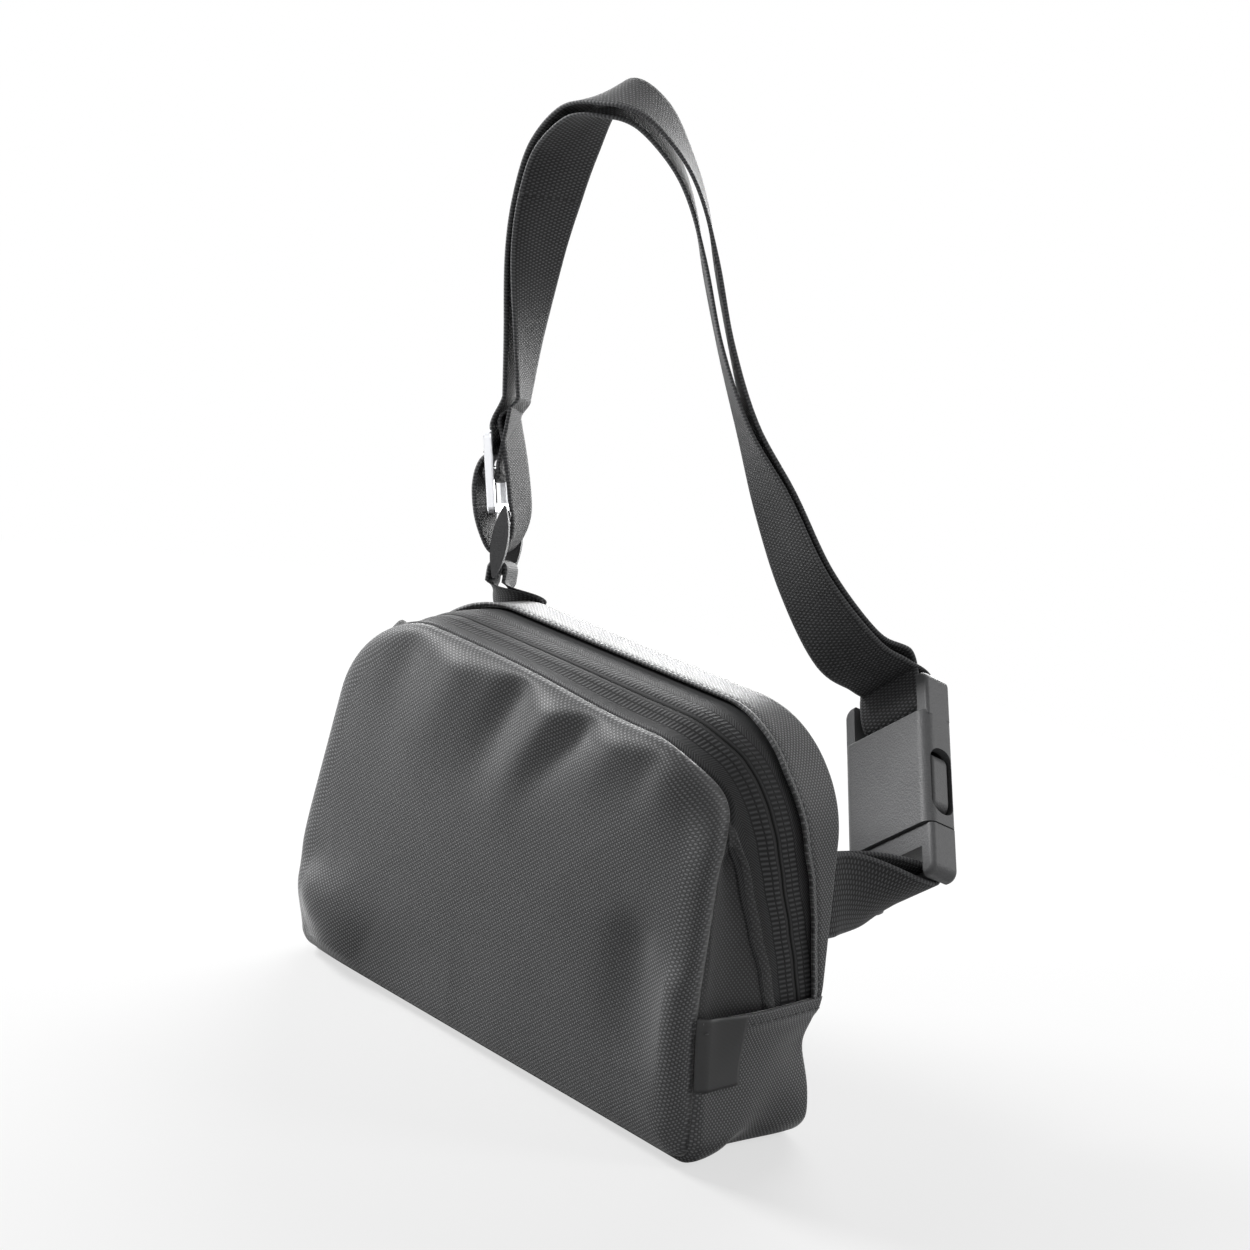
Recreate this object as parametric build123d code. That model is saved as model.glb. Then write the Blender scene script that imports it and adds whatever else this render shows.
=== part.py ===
"""Small zipped waist bag with a webbing belt, an adjuster and a side-release buckle.

The bag stands on its base at Z = 0. Its front panel faces -Y, its back panel lies at +Y and
X runs along the base. The belt leaves the bag at the two back seams and stands over it as a
loop. All sizes are in millimetres.
"""
import os
from math import cos, pi, radians, sin

from build123d import *

# ---- driving dimensions: bag ----
bag_height = 140.0
base_width = 214.0  # front outline, where its sides meet the base line
top_width = 178.0  # front outline, where its sides meet the top line
bag_depth = 60.0  # front seam to back seam
front_crown = 8.0  # how far the front panel stands out in front of its seam
top_corner_radius = 42.0
base_corner_radius = 9.0
skin = 1.6  # coated cloth with its lining
tape_thickness = 0.9
base_seam_height = bag_height * 0.35  # where the base gusset meets the zipped gusset

# ---- driving dimensions: zip ----
zip_straight_top = bag_height * 0.75  # above this height the zip bends over the corner
zip_y_at_seam = bag_depth / 2 - 13.6  # zip centre line at the base seam
zip_y_straight_top = -bag_depth / 20
zip_y_over_top = -bag_depth / 5
zip_bend_rise = 13.0  # first stretch of the bend
zip_bend_drift = 4.0
tape_show_front = 14.0  # tape that shows in front of the centre line
tape_show_rear_low = 6.6
tape_show_rear_mid = 13.0
tape_show_rear_high = 18.0
rear_fold_kink = 23.0  # height above the base seam where the rear fold starts to lean back
rear_fold_kink_extra = 3.0
tape_tuck = 5.0  # tape hidden under the cloth at each edge
tape_gap = 0.3
coil_width = 2.3
coil_thickness = 1.8
slider_length = 12.0
slider_width = 9.5
slider_plate = 1.5
slider_clearance = 0.35
slider_neck_half = 1.4
slider_neck_length = 4.0
slider_corner = 2.6
crown_height = 3.4
crown_half_width = 1.6
crown_half_length = 4.4
crown_eye_half = 2.9
slider_start = 11.0  # slider centre above the base seam, along the zip
pull_length = 26.0
pull_width = 6.5
pull_thickness = 1.6
pull_pin_radius = 0.9
pull_pin_clearance = 0.25
pull_corner = 2.4
pull_hole_radius = 1.5
pull_hole_inset = 5.0

# ---- driving dimensions: belt ----
webbing_width = 30.0
webbing_thickness = 1.4
webbing_clearance = 0.35
bar_clearance = 0.9  # on each side of the webbing between two legs
sewn_gap = 0.12  # half the space between two layers sewn together

# ---- driving dimensions: loop ring and adjuster ----
ring_height = 29.0
ring_leg = 4.0
ring_leg_depth = 6.2
ring_bar_radius = 2.1
ring_bar_inset = 4.3
adjuster_height = 31.0
adjuster_thickness = 3.0
adjuster_leg = 3.4
adjuster_bar = 3.6
adjuster_crown = 7.0  # how far the webbing stands off over the centre bar

# ---- driving dimensions: buckle ----
buckle_leg = 5.1  # each post beside the webbing
buckle_thickness = 15.0
buckle_wall = 3.2
body_start = 17.0  # measured along the buckle from the centre of the lower bar
body_length = 45.0
slot_length = 11.0
bar_length_along = 5.0
bar_thickness = 4.2
male_bar_radius = 2.2
shoulder_start = 8.6
shoulder_gap = 0.6  # between the shoulder and the body that it stops against
window_low = 4.0  # window edges, from the body's open end
window_high = 30.0
prong_thickness = 3.4
prong_depth = 6.4
pad_depth = 8.2
guide_half_width = 4.2
buckle_clearance = 0.5
strap_release_stretch = 3  # route stations beside the buckle that give way when it opens

# ---- label ----
label_length = 25.0
label_reach = 20.0
label_thickness = 0.6

# ---- the belt's route: centre, width direction, distance between its two layers ----
belt_route = [
    ((-93.9, 33.5, 212.4), (-0.46, 0.88, -0.12), 5.2),
    ((-97.5, 35.0, 236.2), (-0.29, 0.95, -0.08), 3.8),
    ((-100.2, 36.0, 266.0), (-0.06, 1.00, -0.01), 3.0),
    ((-98.3, 35.5, 287.9), (0.12, 0.99, 0.00), 3.2),
    ((-94.6, 35.5, 305.6), (0.11, 0.99, -0.03), 3.8),
    ((-85.6, 35.0, 321.0), (-0.18, 0.98, 0.06), 4.4),
    ((-73.2, 38.0, 328.4), (-0.42, 0.84, 0.33), 4.8),
    ((-62.2, 44.5, 324.4), (-0.43, 0.88, 0.16), 5.0),
    ((-51.0, 51.0, 311.4), (-0.50, 0.86, -0.08), 4.8),
    ((-41.5, 54.5, 296.8), (-0.56, 0.81, -0.19), 4.6),
    ((-31.3, 56.5, 275.4), (-0.62, 0.75, -0.23), 4.4),
    ((-18.4, 58.5, 248.2), (-0.61, 0.75, -0.25), 4.0),
    ((-3.7, 61.5, 222.0), (-0.67, 0.68, -0.29), 3.2),
    ((11.3, 66.5, 198.9), (-0.80, 0.43, -0.41), 2.8),
    ((26.8, 73.5, 173.7), (-0.86, 0.24, -0.45), 2.8),
    ((42.0, 85.5, 152.5), (-0.80, 0.00, -0.60), 3.2),
    ((49.6, 98.5, 146.0), (-0.77, 0.03, -0.64), 5.4),
]

# ---- frames of the belt's hardware, from the bag's top left and right side seams ----
anchor_height = 84.5  # middle of the buckle's webbing, sewn in the right seam
ring_home = Vector(-top_width / 2, bag_depth / 2, bag_height)
buckle_home = Vector(base_width / 2, bag_depth / 2, anchor_height)
route_ring_home = Vector(-89.0, 30.0, 140.0)  # the two homes that the route is laid out for
route_buckle_home = Vector(107.0, 30.0, 84.5)
buckle_origin = buckle_home + Vector(-8.1, 38.5, -1.0)  # centre of the lower bar
buckle_across = Vector(0.763, -0.038, 0.645)
buckle_along = Vector(-0.564, 0.448, 0.694)
adjuster_origin = ring_home + Vector(-5.8, 0.6, 43.0)
adjuster_across = Vector(-0.58, 0.80, -0.17)
adjuster_along = Vector(-0.30, -0.02, 0.95)
ring_origin = ring_home + Vector(5.8, 1.0, 18.5)
ring_across = Vector(-0.56, 0.80, -0.21)
ring_along = Vector(-0.16, 0.14, 0.97)
tab_seam_angle = 128.0  # where the tab is sewn in, around the top left corner
tab_straight = 4.6  # straight stretch of the tab below the ring's bar

# ---- derived sizes ----
half_depth = bag_depth / 2
side_slope = (base_width - top_width) / 2 / bag_height
zip_slope = (zip_y_at_seam - zip_y_straight_top) / (zip_straight_top - base_seam_height)
slot_width = webbing_width + 2 * bar_clearance
buckle_width = slot_width + 2 * buckle_leg
shoulder_end = body_start - shoulder_gap
body_end = body_start + body_length
female_bar_at = body_end + slot_length + bar_length_along / 2
female_turn = bar_length_along / 2 + webbing_clearance + webbing_thickness / 2
male_turn = male_bar_radius + webbing_clearance + webbing_thickness / 2
ring_turn = ring_bar_radius + webbing_clearance + webbing_thickness / 2


# ---------------------------------------------------------------- general helpers
def outline_face(inset):
    """The bag's front outline, moved inward by inset."""
    foot = base_width / 2
    head = top_width / 2
    edge = Polygon((-foot, 0), (foot, 0), (head, bag_height), (-head, bag_height), align=None)
    low = edge.vertices().sort_by(Axis.Y)[:2]
    face = fillet(low, base_corner_radius)
    high = face.vertices().sort_by(Axis.Y)[-2:]
    face = fillet(high, top_corner_radius)
    if inset == 0:
        return face
    return offset(face, amount=-inset)


def slab(inset, y_low, y_high):
    """The outline as a solid between two depths."""
    placed = Plane(origin=(0, y_high, 0), x_dir=(1, 0, 0), z_dir=(0, -1, 0)) * outline_face(inset)
    return extrude(placed, amount=y_high - y_low, dir=(0, -1, 0))


def band(outer, inner, y_low, y_high):
    """A band that follows the outline, between two insets and two depths."""
    return slab(outer, y_low, y_high) - slab(inner, y_low - 1, y_high + 1)


def side_prism(points, x_low, x_high):
    """A prism along X over a list of (y, z) corners."""
    profile = Plane(origin=(x_low, 0, 0), x_dir=(0, 1, 0), z_dir=(1, 0, 0)) * Polygon(
        *points, align=None
    )
    return extrude(profile, amount=x_high - x_low, dir=(1, 0, 0))


def block(x, y, z):
    """An axis-aligned box from three (low, high) pairs."""
    size = (x[1] - x[0], y[1] - y[0], z[1] - z[0])
    centre = ((x[0] + x[1]) / 2, (y[0] + y[1]) / 2, (z[0] + z[1]) / 2)
    return Pos(*centre) * Box(*size)


def frame_of(origin, across, along):
    """Local frame: X across the webbing, Z along it."""
    x_dir = across - along * (across.dot(along) / along.dot(along))
    return Plane(origin=origin, x_dir=x_dir, z_dir=along)


def ribbon(stations, width=webbing_width, thickness=webbing_thickness):
    """Webbing through a list of (centre, width direction, normal)."""
    wires = []
    for centre, across, normal in stations:
        w = across.normalized() * (width / 2)
        n = normal.normalized() * (thickness / 2)
        corners = [centre - w - n, centre + w - n, centre + w + n, centre - w + n]
        wires.append(Wire.make_polygon(corners, close=True))
    return Solid.make_loft(wires, ruled=True)


def blend_points(a, b, c, d, t):
    """Smooth curve through b and c, with a and d as its neighbours."""
    return (
        b * 2
        + (c - a) * t
        + (a * 2 - b * 5 + c * 4 - d) * t**2
        + (b * 3 - a - c * 3 + d) * t**3
    ) * 0.5


def smooth(values, steps):
    """Values in between a list of vectors."""
    ends = [values[0] * 2 - values[1]] + values + [values[-1] * 2 - values[-2]]
    out = []
    for i in range(len(values) - 1):
        for k in range(steps):
            out.append(blend_points(*ends[i : i + 4], k / steps))
    return out + [values[-1]]


def local_ribbon(frame, path):
    """Stations from local (y, z) points in a frame whose X runs across the webbing."""
    across = frame.x_dir
    points = [frame.from_local_coords(Vector(0, y, z)) for y, z in path]
    stations = []
    for i, point in enumerate(points):
        ahead = points[min(i + 1, len(points) - 1)] - points[max(i - 1, 0)]
        stations.append((point, across, ahead.cross(across)))
    return stations


def arc_points(radius, y, z, start, end, steps):
    """Points on an arc in a local (y, z) plane, angles in degrees from +y."""
    out = []
    for k in range(steps + 1):
        angle = radians(start + (end - start) * k / steps)
        out.append((y + radius * cos(angle), z + radius * sin(angle)))
    return out


# ---------------------------------------------------------------- bag
def zip_centre(z):
    """Depth of the zip's centre line on the straight stretch."""
    return zip_y_at_seam - (z - base_seam_height) * zip_slope


beyond = bag_height + 10.0
tuck_low = base_seam_height - 6.0
centre_line = [
    (zip_centre(tuck_low), tuck_low),
    (zip_y_straight_top, zip_straight_top),
    (zip_y_straight_top - zip_bend_drift, zip_straight_top + zip_bend_rise),
    (zip_y_over_top, bag_height - 6.0),
    (zip_y_over_top, beyond),
]
front_fold = [
    (zip_centre(tuck_low) - tape_show_front, tuck_low),
    (zip_y_straight_top - tape_show_front, zip_straight_top),
    (zip_y_straight_top - tape_show_front - zip_bend_drift, zip_straight_top + zip_bend_rise),
    (-half_depth, bag_height - 6.0),
]
kink_z = base_seam_height + rear_fold_kink
rear_fold = [
    (zip_centre(tuck_low) + tape_show_rear_low, tuck_low),
    (zip_centre(kink_z) + tape_show_rear_low + rear_fold_kink_extra, kink_z),
    (zip_y_straight_top + tape_show_rear_mid, zip_straight_top),
    (zip_y_over_top + tape_show_rear_high - 1.0, bag_height - 10.0),
    (zip_y_over_top + tape_show_rear_high, beyond),
]


def shifted(line, dy):
    """A (y, z) line moved in depth."""
    return [(y + dy, z) for y, z in line]


def between(low_line, high_line):
    """The (y, z) region between two lines."""
    return side_prism(low_line + high_line[::-1], -base_width, base_width)


half_space_right = block((0, base_width), (-bag_depth, bag_depth), (-10, beyond + 10))
half_space_left = block((-base_width, 0), (-bag_depth, bag_depth), (-10, beyond + 10))
above_seam = block((-base_width, base_width), (-bag_depth, bag_depth), (base_seam_height, beyond))


def front_panel():
    outer = slab(0, -half_depth - front_crown, -half_depth)
    rim = outer.faces().sort_by(Axis.Y)[0].edges()
    outer = fillet(rim, front_crown - 0.6)
    inner = slab(skin, -half_depth - front_crown + skin, -half_depth + 1)
    rim = inner.faces().sort_by(Axis.Y)[0].edges()
    inner = fillet(rim, front_crown - skin - 0.6)
    return outer - inner


def back_panel():
    sheet = slab(0, half_depth, half_depth + skin)
    return fillet(sheet.faces().sort_by(Axis.Y)[-1].edges(), skin * 0.6)


def base_gusset():
    return band(0, skin, -half_depth, half_depth) - above_seam


def front_facing():
    front_line = [(-bag_depth, front_fold[0][1]), (-bag_depth, front_fold[-1][1])]
    return band(0, skin, -half_depth, half_depth) & between(front_line, front_fold) & above_seam


def rear_facing():
    back_line = [(bag_depth, rear_fold[0][1]), (bag_depth, rear_fold[-1][1])]
    return band(0, skin, -half_depth, half_depth) & between(rear_fold, back_line) & above_seam


def tape(low_line, high_line):
    ring = band(skin, skin + tape_thickness, -half_depth, half_depth)
    return ring & between(low_line, high_line)


def coil(low_line, high_line):
    inset = skin + tape_thickness
    ring = band(inset, inset + coil_thickness, -half_depth, half_depth)
    return ring & between(low_line, high_line)


def label():
    ring = slab(-label_thickness - 0.2, -half_depth, half_depth) - slab(-0.2, -bag_depth, bag_depth)
    top = base_seam_height + 3.0
    reach = (-half_depth, -half_depth + label_reach)
    window = block((0, base_width), reach, (top - label_length, top))
    return ring & window


# ---------------------------------------------------------------- zip slider
slider_z = base_seam_height + slider_start
slider_surface = Vector(-(base_width / 2 - slider_z * side_slope), zip_centre(slider_z), slider_z)
zip_direction = Vector(side_slope, -zip_slope, 1).normalized()
side_normal = Vector(-1, 0, side_slope).normalized()
slider_frame = Plane(
    origin=slider_surface, x_dir=zip_direction.cross(side_normal), z_dir=side_normal
)
tape_top = -skin
tape_bottom = -skin - tape_thickness
coil_bottom = tape_bottom - coil_thickness
plate_low = tape_top + slider_clearance
plate_high = plate_low + slider_plate
pull_axis_z = plate_high + pull_pin_radius + pull_pin_clearance
pull_axis_y = -1.2
pin_running_gap = 0.05


def slider_notch():
    """Room for the slider's neck between the two tapes, in the slider's frame."""
    half = slider_length / 2
    wide = slider_neck_half + slider_clearance
    y = (-half - 0.6, slider_neck_length - half + 0.6)
    return block((-wide, wide), y, (coil_bottom - 1, tape_top + 1))


def zip_slider():
    half = slider_length / 2
    wide = slider_width / 2
    top = block((-wide, wide), (-half, half), (plate_low, plate_high))
    top = fillet(top.edges().filter_by(Axis.Z), slider_corner)
    top = fillet(top.faces().sort_by(Axis.Z)[-1].edges(), 0.5)
    under_high = coil_bottom - slider_clearance
    under = block((-wide, wide), (-half, half), (under_high - slider_plate, under_high))
    under = fillet(under.edges().filter_by(Axis.Z), slider_corner)
    neck_y = (0.2 - half, slider_neck_length - half)
    neck = block((-slider_neck_half, slider_neck_half), neck_y, (under_high, plate_low))
    crown_x = (-crown_half_width, crown_half_width)
    crown_y = (-crown_half_length, crown_half_length)
    crown = block(crown_x, crown_y, (plate_high, plate_high + crown_height))
    crown = fillet(crown.edges().filter_by(Axis.X).sort_by(Axis.Z)[-2:], crown_height / 2 - 0.1)
    eye_top = pull_axis_z + pull_pin_radius + pin_running_gap
    eye = block((-3, 3), (-crown_eye_half, crown_eye_half), (plate_high, eye_top))
    return slider_frame * (top + under + neck + (crown - eye))


def zip_pull():
    """Flat tab on a pin that turns under the slider's crown."""
    pin = Pos(0, pull_axis_y, pull_axis_z) * Rot(0, 90, 0) * Cylinder(pull_pin_radius, pull_width)
    leg_reach = slider_length / 2 + 1.2
    legs = Part()
    for side in (-1, 1):
        inner = side * (crown_half_width + slider_clearance)
        outer = side * pull_width / 2
        x = (min(inner, outer), max(inner, outer))
        y = (pull_axis_y - leg_reach, pull_axis_y)
        legs += block(x, y, (pull_axis_z - pull_pin_radius, pull_axis_z + pull_pin_radius))
    tab_low = pull_axis_y - leg_reach - pull_length
    half = pull_thickness / 2
    tab = block(
        (-pull_width / 2, pull_width / 2),
        (tab_low, pull_axis_y - leg_reach + 1),
        (pull_axis_z - half, pull_axis_z + half),
    )
    tab = fillet(tab.edges().filter_by(Axis.Z).sort_by(Axis.Y)[:2], pull_corner)
    hole = Pos(0, tab_low + pull_hole_inset, pull_axis_z) * Cylinder(pull_hole_radius, 6)
    return slider_frame * (pin + legs + (tab - hole))


# ---------------------------------------------------------------- buckle
buckle = frame_of(buckle_origin, buckle_across, buckle_along)
half_buckle = buckle_width / 2
half_thick = buckle_thickness / 2
cavity_x = half_buckle - buckle_wall
cavity_y = pad_depth / 2 + buckle_clearance


def female_shell():
    outer = block(
        (-half_buckle, half_buckle), (-half_thick, half_thick), (body_start, body_end)
    )
    outer = fillet(outer.edges().filter_by(Axis.Z), 4.2)
    outer = fillet(outer.faces().sort_by(Axis.Z)[-1].edges(), 1.0)
    cavity = block(
        (-cavity_x, cavity_x), (-cavity_y, cavity_y), (body_start - 1, body_end - buckle_wall)
    )
    window_z = (body_start + window_low, body_start + window_high)
    window_reach = cavity_y + 0.6
    shell = outer - cavity
    for side in (-1, 1):
        x = sorted((side * (half_buckle - 9.0), side * (half_buckle + 1)))
        window = block(x, (-window_reach, window_reach), window_z)
        shell -= fillet(window.edges().filter_by(Axis.X), window_reach - 0.4)
    return shell


def female_bar():
    """Two posts above the body and the bar between them."""
    top = body_end + slot_length + bar_length_along
    depth = half_thick - 1.6
    posts = block((-half_buckle, half_buckle), (-depth, depth), (body_end - 2, top))
    posts = fillet(posts.edges().filter_by(Axis.Y).sort_by(Axis.Z)[-2:], 4.0)
    posts = fillet(posts.edges().filter_by(Axis.Z), 1.4)
    gap = block((-slot_width / 2, slot_width / 2), (-9, 9), (body_end - 4, top + 1))
    bar = block(
        (-slot_width / 2 - 1, slot_width / 2 + 1),
        (-bar_thickness / 2, bar_thickness / 2),
        (top - bar_length_along, top),
    )
    bar = fillet(bar.edges().filter_by(Axis.X), 1.9)
    return (posts - gap) + bar


def buckle_female():
    return buckle * (female_shell() + female_bar())


def buckle_male():
    """Lower bar, two posts, the shoulder that stops the body, and the guide tongue."""
    depth = half_thick - 1.2
    half = half_buckle
    frame = block((-half, half), (-depth, depth), (-male_bar_radius - 0.6, shoulder_end))
    frame = fillet(frame.edges().filter_by(Axis.Y).sort_by(Axis.Z)[:2], 4.0)
    frame = fillet(frame.edges().filter_by(Axis.Z), 2.0)
    gap = block((-slot_width / 2, slot_width / 2), (-9, 9), (-9, shoulder_start))
    bar = Rot(0, 90, 0) * Cylinder(male_bar_radius, slot_width + 2)
    guide_top = body_start + window_high - 2.0
    guide = block(
        (-guide_half_width, guide_half_width), (-2.4, 2.4), (shoulder_end - 1, guide_top)
    )
    guide = fillet(guide.edges().filter_by(Axis.Y).sort_by(Axis.Z)[-2:], 2.4)
    return buckle * ((frame - gap) + bar + guide)


prong_x = cavity_x - 4.4
prong_root = shoulder_end + 0.3
pad_low = body_start + window_low + 1.2
pad_high = body_start + window_high - 1.2


def buckle_prong(side):
    """Springy arm with the pad that fills the side window."""
    arm = block(
        (prong_x - prong_thickness, prong_x), (-prong_depth / 2, prong_depth / 2),
        (prong_root, pad_high + 2.0),
    )
    arm = fillet(arm.edges().filter_by(Axis.Y).sort_by(Axis.Z)[-2:], 1.5)
    pad = block((prong_x - 1, half_buckle - 0.8), (-pad_depth / 2, pad_depth / 2), (pad_low, pad_high))
    outer_edges = pad.edges().filter_by(Axis.Y).sort_by(Axis.X)[-2:]
    pad = fillet(outer_edges, 4.6)
    pad = fillet(pad.edges().filter_by(Axis.Z).sort_by(Axis.X)[-2:], 1.4)
    prong = arm + pad
    if side < 0:
        prong = mirror(prong, about=Plane.YZ)
    return buckle * prong


# ---------------------------------------------------------------- adjuster and ring
adjuster = frame_of(adjuster_origin, adjuster_across, adjuster_along)
ring = frame_of(ring_origin, ring_across, ring_along)
frame_half = slot_width / 2 + adjuster_leg


def tri_glide():
    """Flat frame with a centre bar and two slots."""
    half = adjuster_height / 2
    plate = block(
        (-frame_half, frame_half), (-adjuster_thickness / 2, adjuster_thickness / 2), (-half, half)
    )
    plate = fillet(plate.edges().filter_by(Axis.Y), 2.6)
    for side in (-1, 1):
        z = sorted((side * (half - adjuster_bar), side * adjuster_bar / 2))
        plate -= block((-slot_width / 2, slot_width / 2), (-9, 9), z)
    rims = plate.faces().filter_by(Axis.Y)
    return adjuster * chamfer(rims.edges(), 0.5)


def loop_ring():
    """Two leaf-shaped legs joined by two round bars."""
    half = ring_height / 2
    bow = (half**2 + (ring_leg_depth / 2) ** 2) / ring_leg_depth
    reach = bow - ring_leg_depth / 2
    ring_part = Part()
    for side in (-1, 1):
        x = side * (slot_width / 2 + ring_leg / 2)
        near = Pos(x, reach, 0) * Rot(0, 90, 0) * Cylinder(bow, ring_leg)
        far = Pos(x, -reach, 0) * Rot(0, 90, 0) * Cylinder(bow, ring_leg)
        leaf = near & far
        ring_part += leaf & block((x - 9, x + 9), (-9, 9), (1 - half, half - 1))
    for z in (-half + ring_bar_inset, half - ring_bar_inset):
        bar = Pos(0, 0, z) * Rot(0, 90, 0) * Cylinder(ring_bar_radius, slot_width + 1)
        ring_part += bar
    return ring * ring_part


# ---------------------------------------------------------------- belt
route_end = len(belt_route) - 1
release_from = route_end - strap_release_stretch


def route_centres():
    """The route's points, moved along with the two places where the belt leaves the bag."""
    ring_move = ring_home - route_ring_home
    buckle_move = buckle_home - route_buckle_home
    out = []
    for i, (centre, _, _) in enumerate(belt_route):
        t = i / route_end
        out.append(Vector(*centre) + ring_move * (1 - t) + buckle_move * t)
    return out


def layer(side, first, last, steps=4):
    """One layer of the belt between two stations of the route; side +1 is the outer one."""
    centres = smooth(route_centres(), steps)
    acrosses = smooth([Vector(*w) for _, w, _ in belt_route], steps)
    pitches = smooth([Vector(p, 0, 0) for _, _, p in belt_route], steps)
    stations = []
    for i in range(first * steps, last * steps + 1):
        low = max(i - 1, 0)
        high = min(i + 1, len(centres) - 1)
        ahead = (centres[high] - centres[low]).normalized()
        across = acrosses[i] - ahead * acrosses[i].dot(ahead)
        normal = ahead.cross(across).normalized()
        centre = centres[i] + normal * (side * pitches[i].X / 2)
        stations.append((centre, across, normal))
    return stations


def aligned(station, like):
    """A station with its directions turned to agree with another one."""
    centre, across, normal = station
    if across.dot(like[1]) < 0:
        across = across * -1
    if normal.dot(like[2]) < 0:
        normal = normal * -1
    return (centre, across, normal)


def joined(stations, turn, steps=5):
    """Carry a layer on from its last station to the first one of a turn."""
    first = stations[-1]
    last = aligned(turn[0], first)
    ahead = (first[0] - stations[-2][0]).normalized()
    onward = (turn[1][0] - turn[0][0]).normalized()
    lead = (last[0] - first[0]).length / 3
    a, d = first[0], last[0]
    b = a + ahead * lead
    c = d - onward * lead
    between_them = []
    for k in range(1, steps):
        t = k / steps
        s = 1 - t
        point = a * s**3 + b * (3 * t * s**2) + c * (3 * t**2 * s) + d * t**3
        across = first[1].normalized() * s + last[1].normalized() * t
        normal = first[2].normalized() * s + last[2].normalized() * t
        between_them.append((point, across, normal))
    return stations + between_them + [last]


def outward(frame):
    """The same frame turned so that its Y points away from the bag's middle."""
    if frame.y_dir.X > 0:
        return Plane(origin=frame.origin, x_dir=frame.x_dir * -1, z_dir=frame.z_dir)
    return frame


glide = outward(adjuster)
ring_out = outward(ring)
buckle_turn_rise = 4.0
buckle_turn = local_ribbon(
    buckle,
    [(-female_turn, female_bar_at + buckle_turn_rise)]
    + arc_points(female_turn, 0, female_bar_at, 180, 360, 10)
    + [(female_turn, female_bar_at + buckle_turn_rise)],
)


def strap_buckle_turn():
    """Round the upper bar, from the front layer to the back one."""
    return ribbon(buckle_turn)


def strap_end(side):
    """The stretch beside the buckle that gives way when the buckle opens."""
    turn = buckle_turn if side < 0 else buckle_turn[::-1]
    return ribbon(joined(layer(side, release_from, route_end), turn))


inner_side = -adjuster_thickness / 2 - webbing_thickness / 2 - webbing_clearance
upper_slot = (adjuster_height / 2 - adjuster_bar + adjuster_bar / 2) / 2
wrap_path = [
    (inner_side - 0.6, adjuster_height / 2 + 2.0),
    (inner_side - 0.3, adjuster_height / 2 - adjuster_bar - 0.6),
    (0.0, upper_slot + 0.6),
    (adjuster_crown * 0.7, upper_slot - 2.6),
    (adjuster_crown, 2.0),
    (adjuster_crown, -2.0),
    (adjuster_crown * 0.7, -upper_slot + 2.6),
    (0.0, -upper_slot - 0.6),
    (inner_side - 0.3, -upper_slot - 2.0),
]
wrap_stations = local_ribbon(glide, wrap_path)


def strap_glide_wrap():
    """Through the upper slot, over the centre bar on the outer side and back."""
    return ribbon(wrap_stations)


def strap_tail():
    """Free end that stands up between the two layers above the adjuster."""
    low = -adjuster_bar / 2 - 1.0
    path = [(inner_side, low), (inner_side, 1.5), (inner_side - 2.0, 9.0)]
    rise = joined(local_ribbon(glide, path), layer(0, 0, 1))
    return ribbon(rise[:-1])


def strap_outer_start():
    """From the outer layer down to the adjuster's upper slot."""
    return ribbon(joined(layer(1, 0, 1)[::-1], wrap_stations))


ring_bar_z = ring_height / 2 - ring_bar_inset
ring_path = [
    (-7.4, ring_bar_z + 9.0),
    (-7.6, ring_bar_z + 2.0),
    (-6.6, ring_bar_z - 4.0),
    (-4.4, ring_bar_z - 9.0),
    (-1.6, ring_bar_z - 11.8),
    (1.6, ring_bar_z - 11.8),
    (4.4, ring_bar_z - 9.0),
    (6.0, ring_bar_z - 4.0),
    (6.2, ring_bar_z - 1.0),
]
ring_stations = local_ribbon(ring_out, ring_path)


def strap_ring_turn():
    """Slack turn under the ring's upper bar."""
    return ribbon(ring_stations)


def strap_inner_start():
    """From the inner layer down to the ring."""
    return ribbon(joined(layer(-1, 0, 1)[::-1], ring_stations))


def folded(near_side, far_side, turn):
    """Webbing from a seam out to a turn round a bar and back to the seam."""
    out = joined(near_side, turn)[:-1] + turn
    back = joined(far_side, turn[::-1])[:-1]
    return ribbon(out + back[::-1])


def ring_tab():
    """Webbing sewn in the back seam and folded round the ring's lower bar."""
    angle = radians(tab_seam_angle)
    corner_x = -(top_width / 2 - top_corner_radius) + top_corner_radius * cos(angle)
    corner_z = bag_height - top_corner_radius + top_corner_radius * sin(angle)
    stand_off = webbing_thickness + sewn_gap + 0.08
    seam = Vector(corner_x, half_depth + skin + stand_off, corner_z)
    along_seam = Vector(sin(angle), 0, -cos(angle))
    bar_z = -ring_height / 2 + ring_bar_inset
    path = [(ring_turn, bar_z - tab_straight)]
    path += arc_points(ring_turn, 0, bar_z, 0, 180, 8)
    path += [(-ring_turn, bar_z - tab_straight)]
    turn = local_ribbon(ring_out, path)
    rise = Vector(0, 0.4, 1).normalized() * 1.5
    up = Vector(0, 1, 0)
    apart = up * (webbing_thickness / 2 + sewn_gap)
    front = [(seam - apart, along_seam, up), (seam - apart + rise, along_seam, up)]
    back = [(seam + apart, along_seam, up), (seam + apart + rise, along_seam, up)]
    return folded(front, back, turn)


seam_tilt = Vector(-side_slope, 0, 1).normalized()
seam_out = Vector(1, 0, side_slope).normalized()


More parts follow.
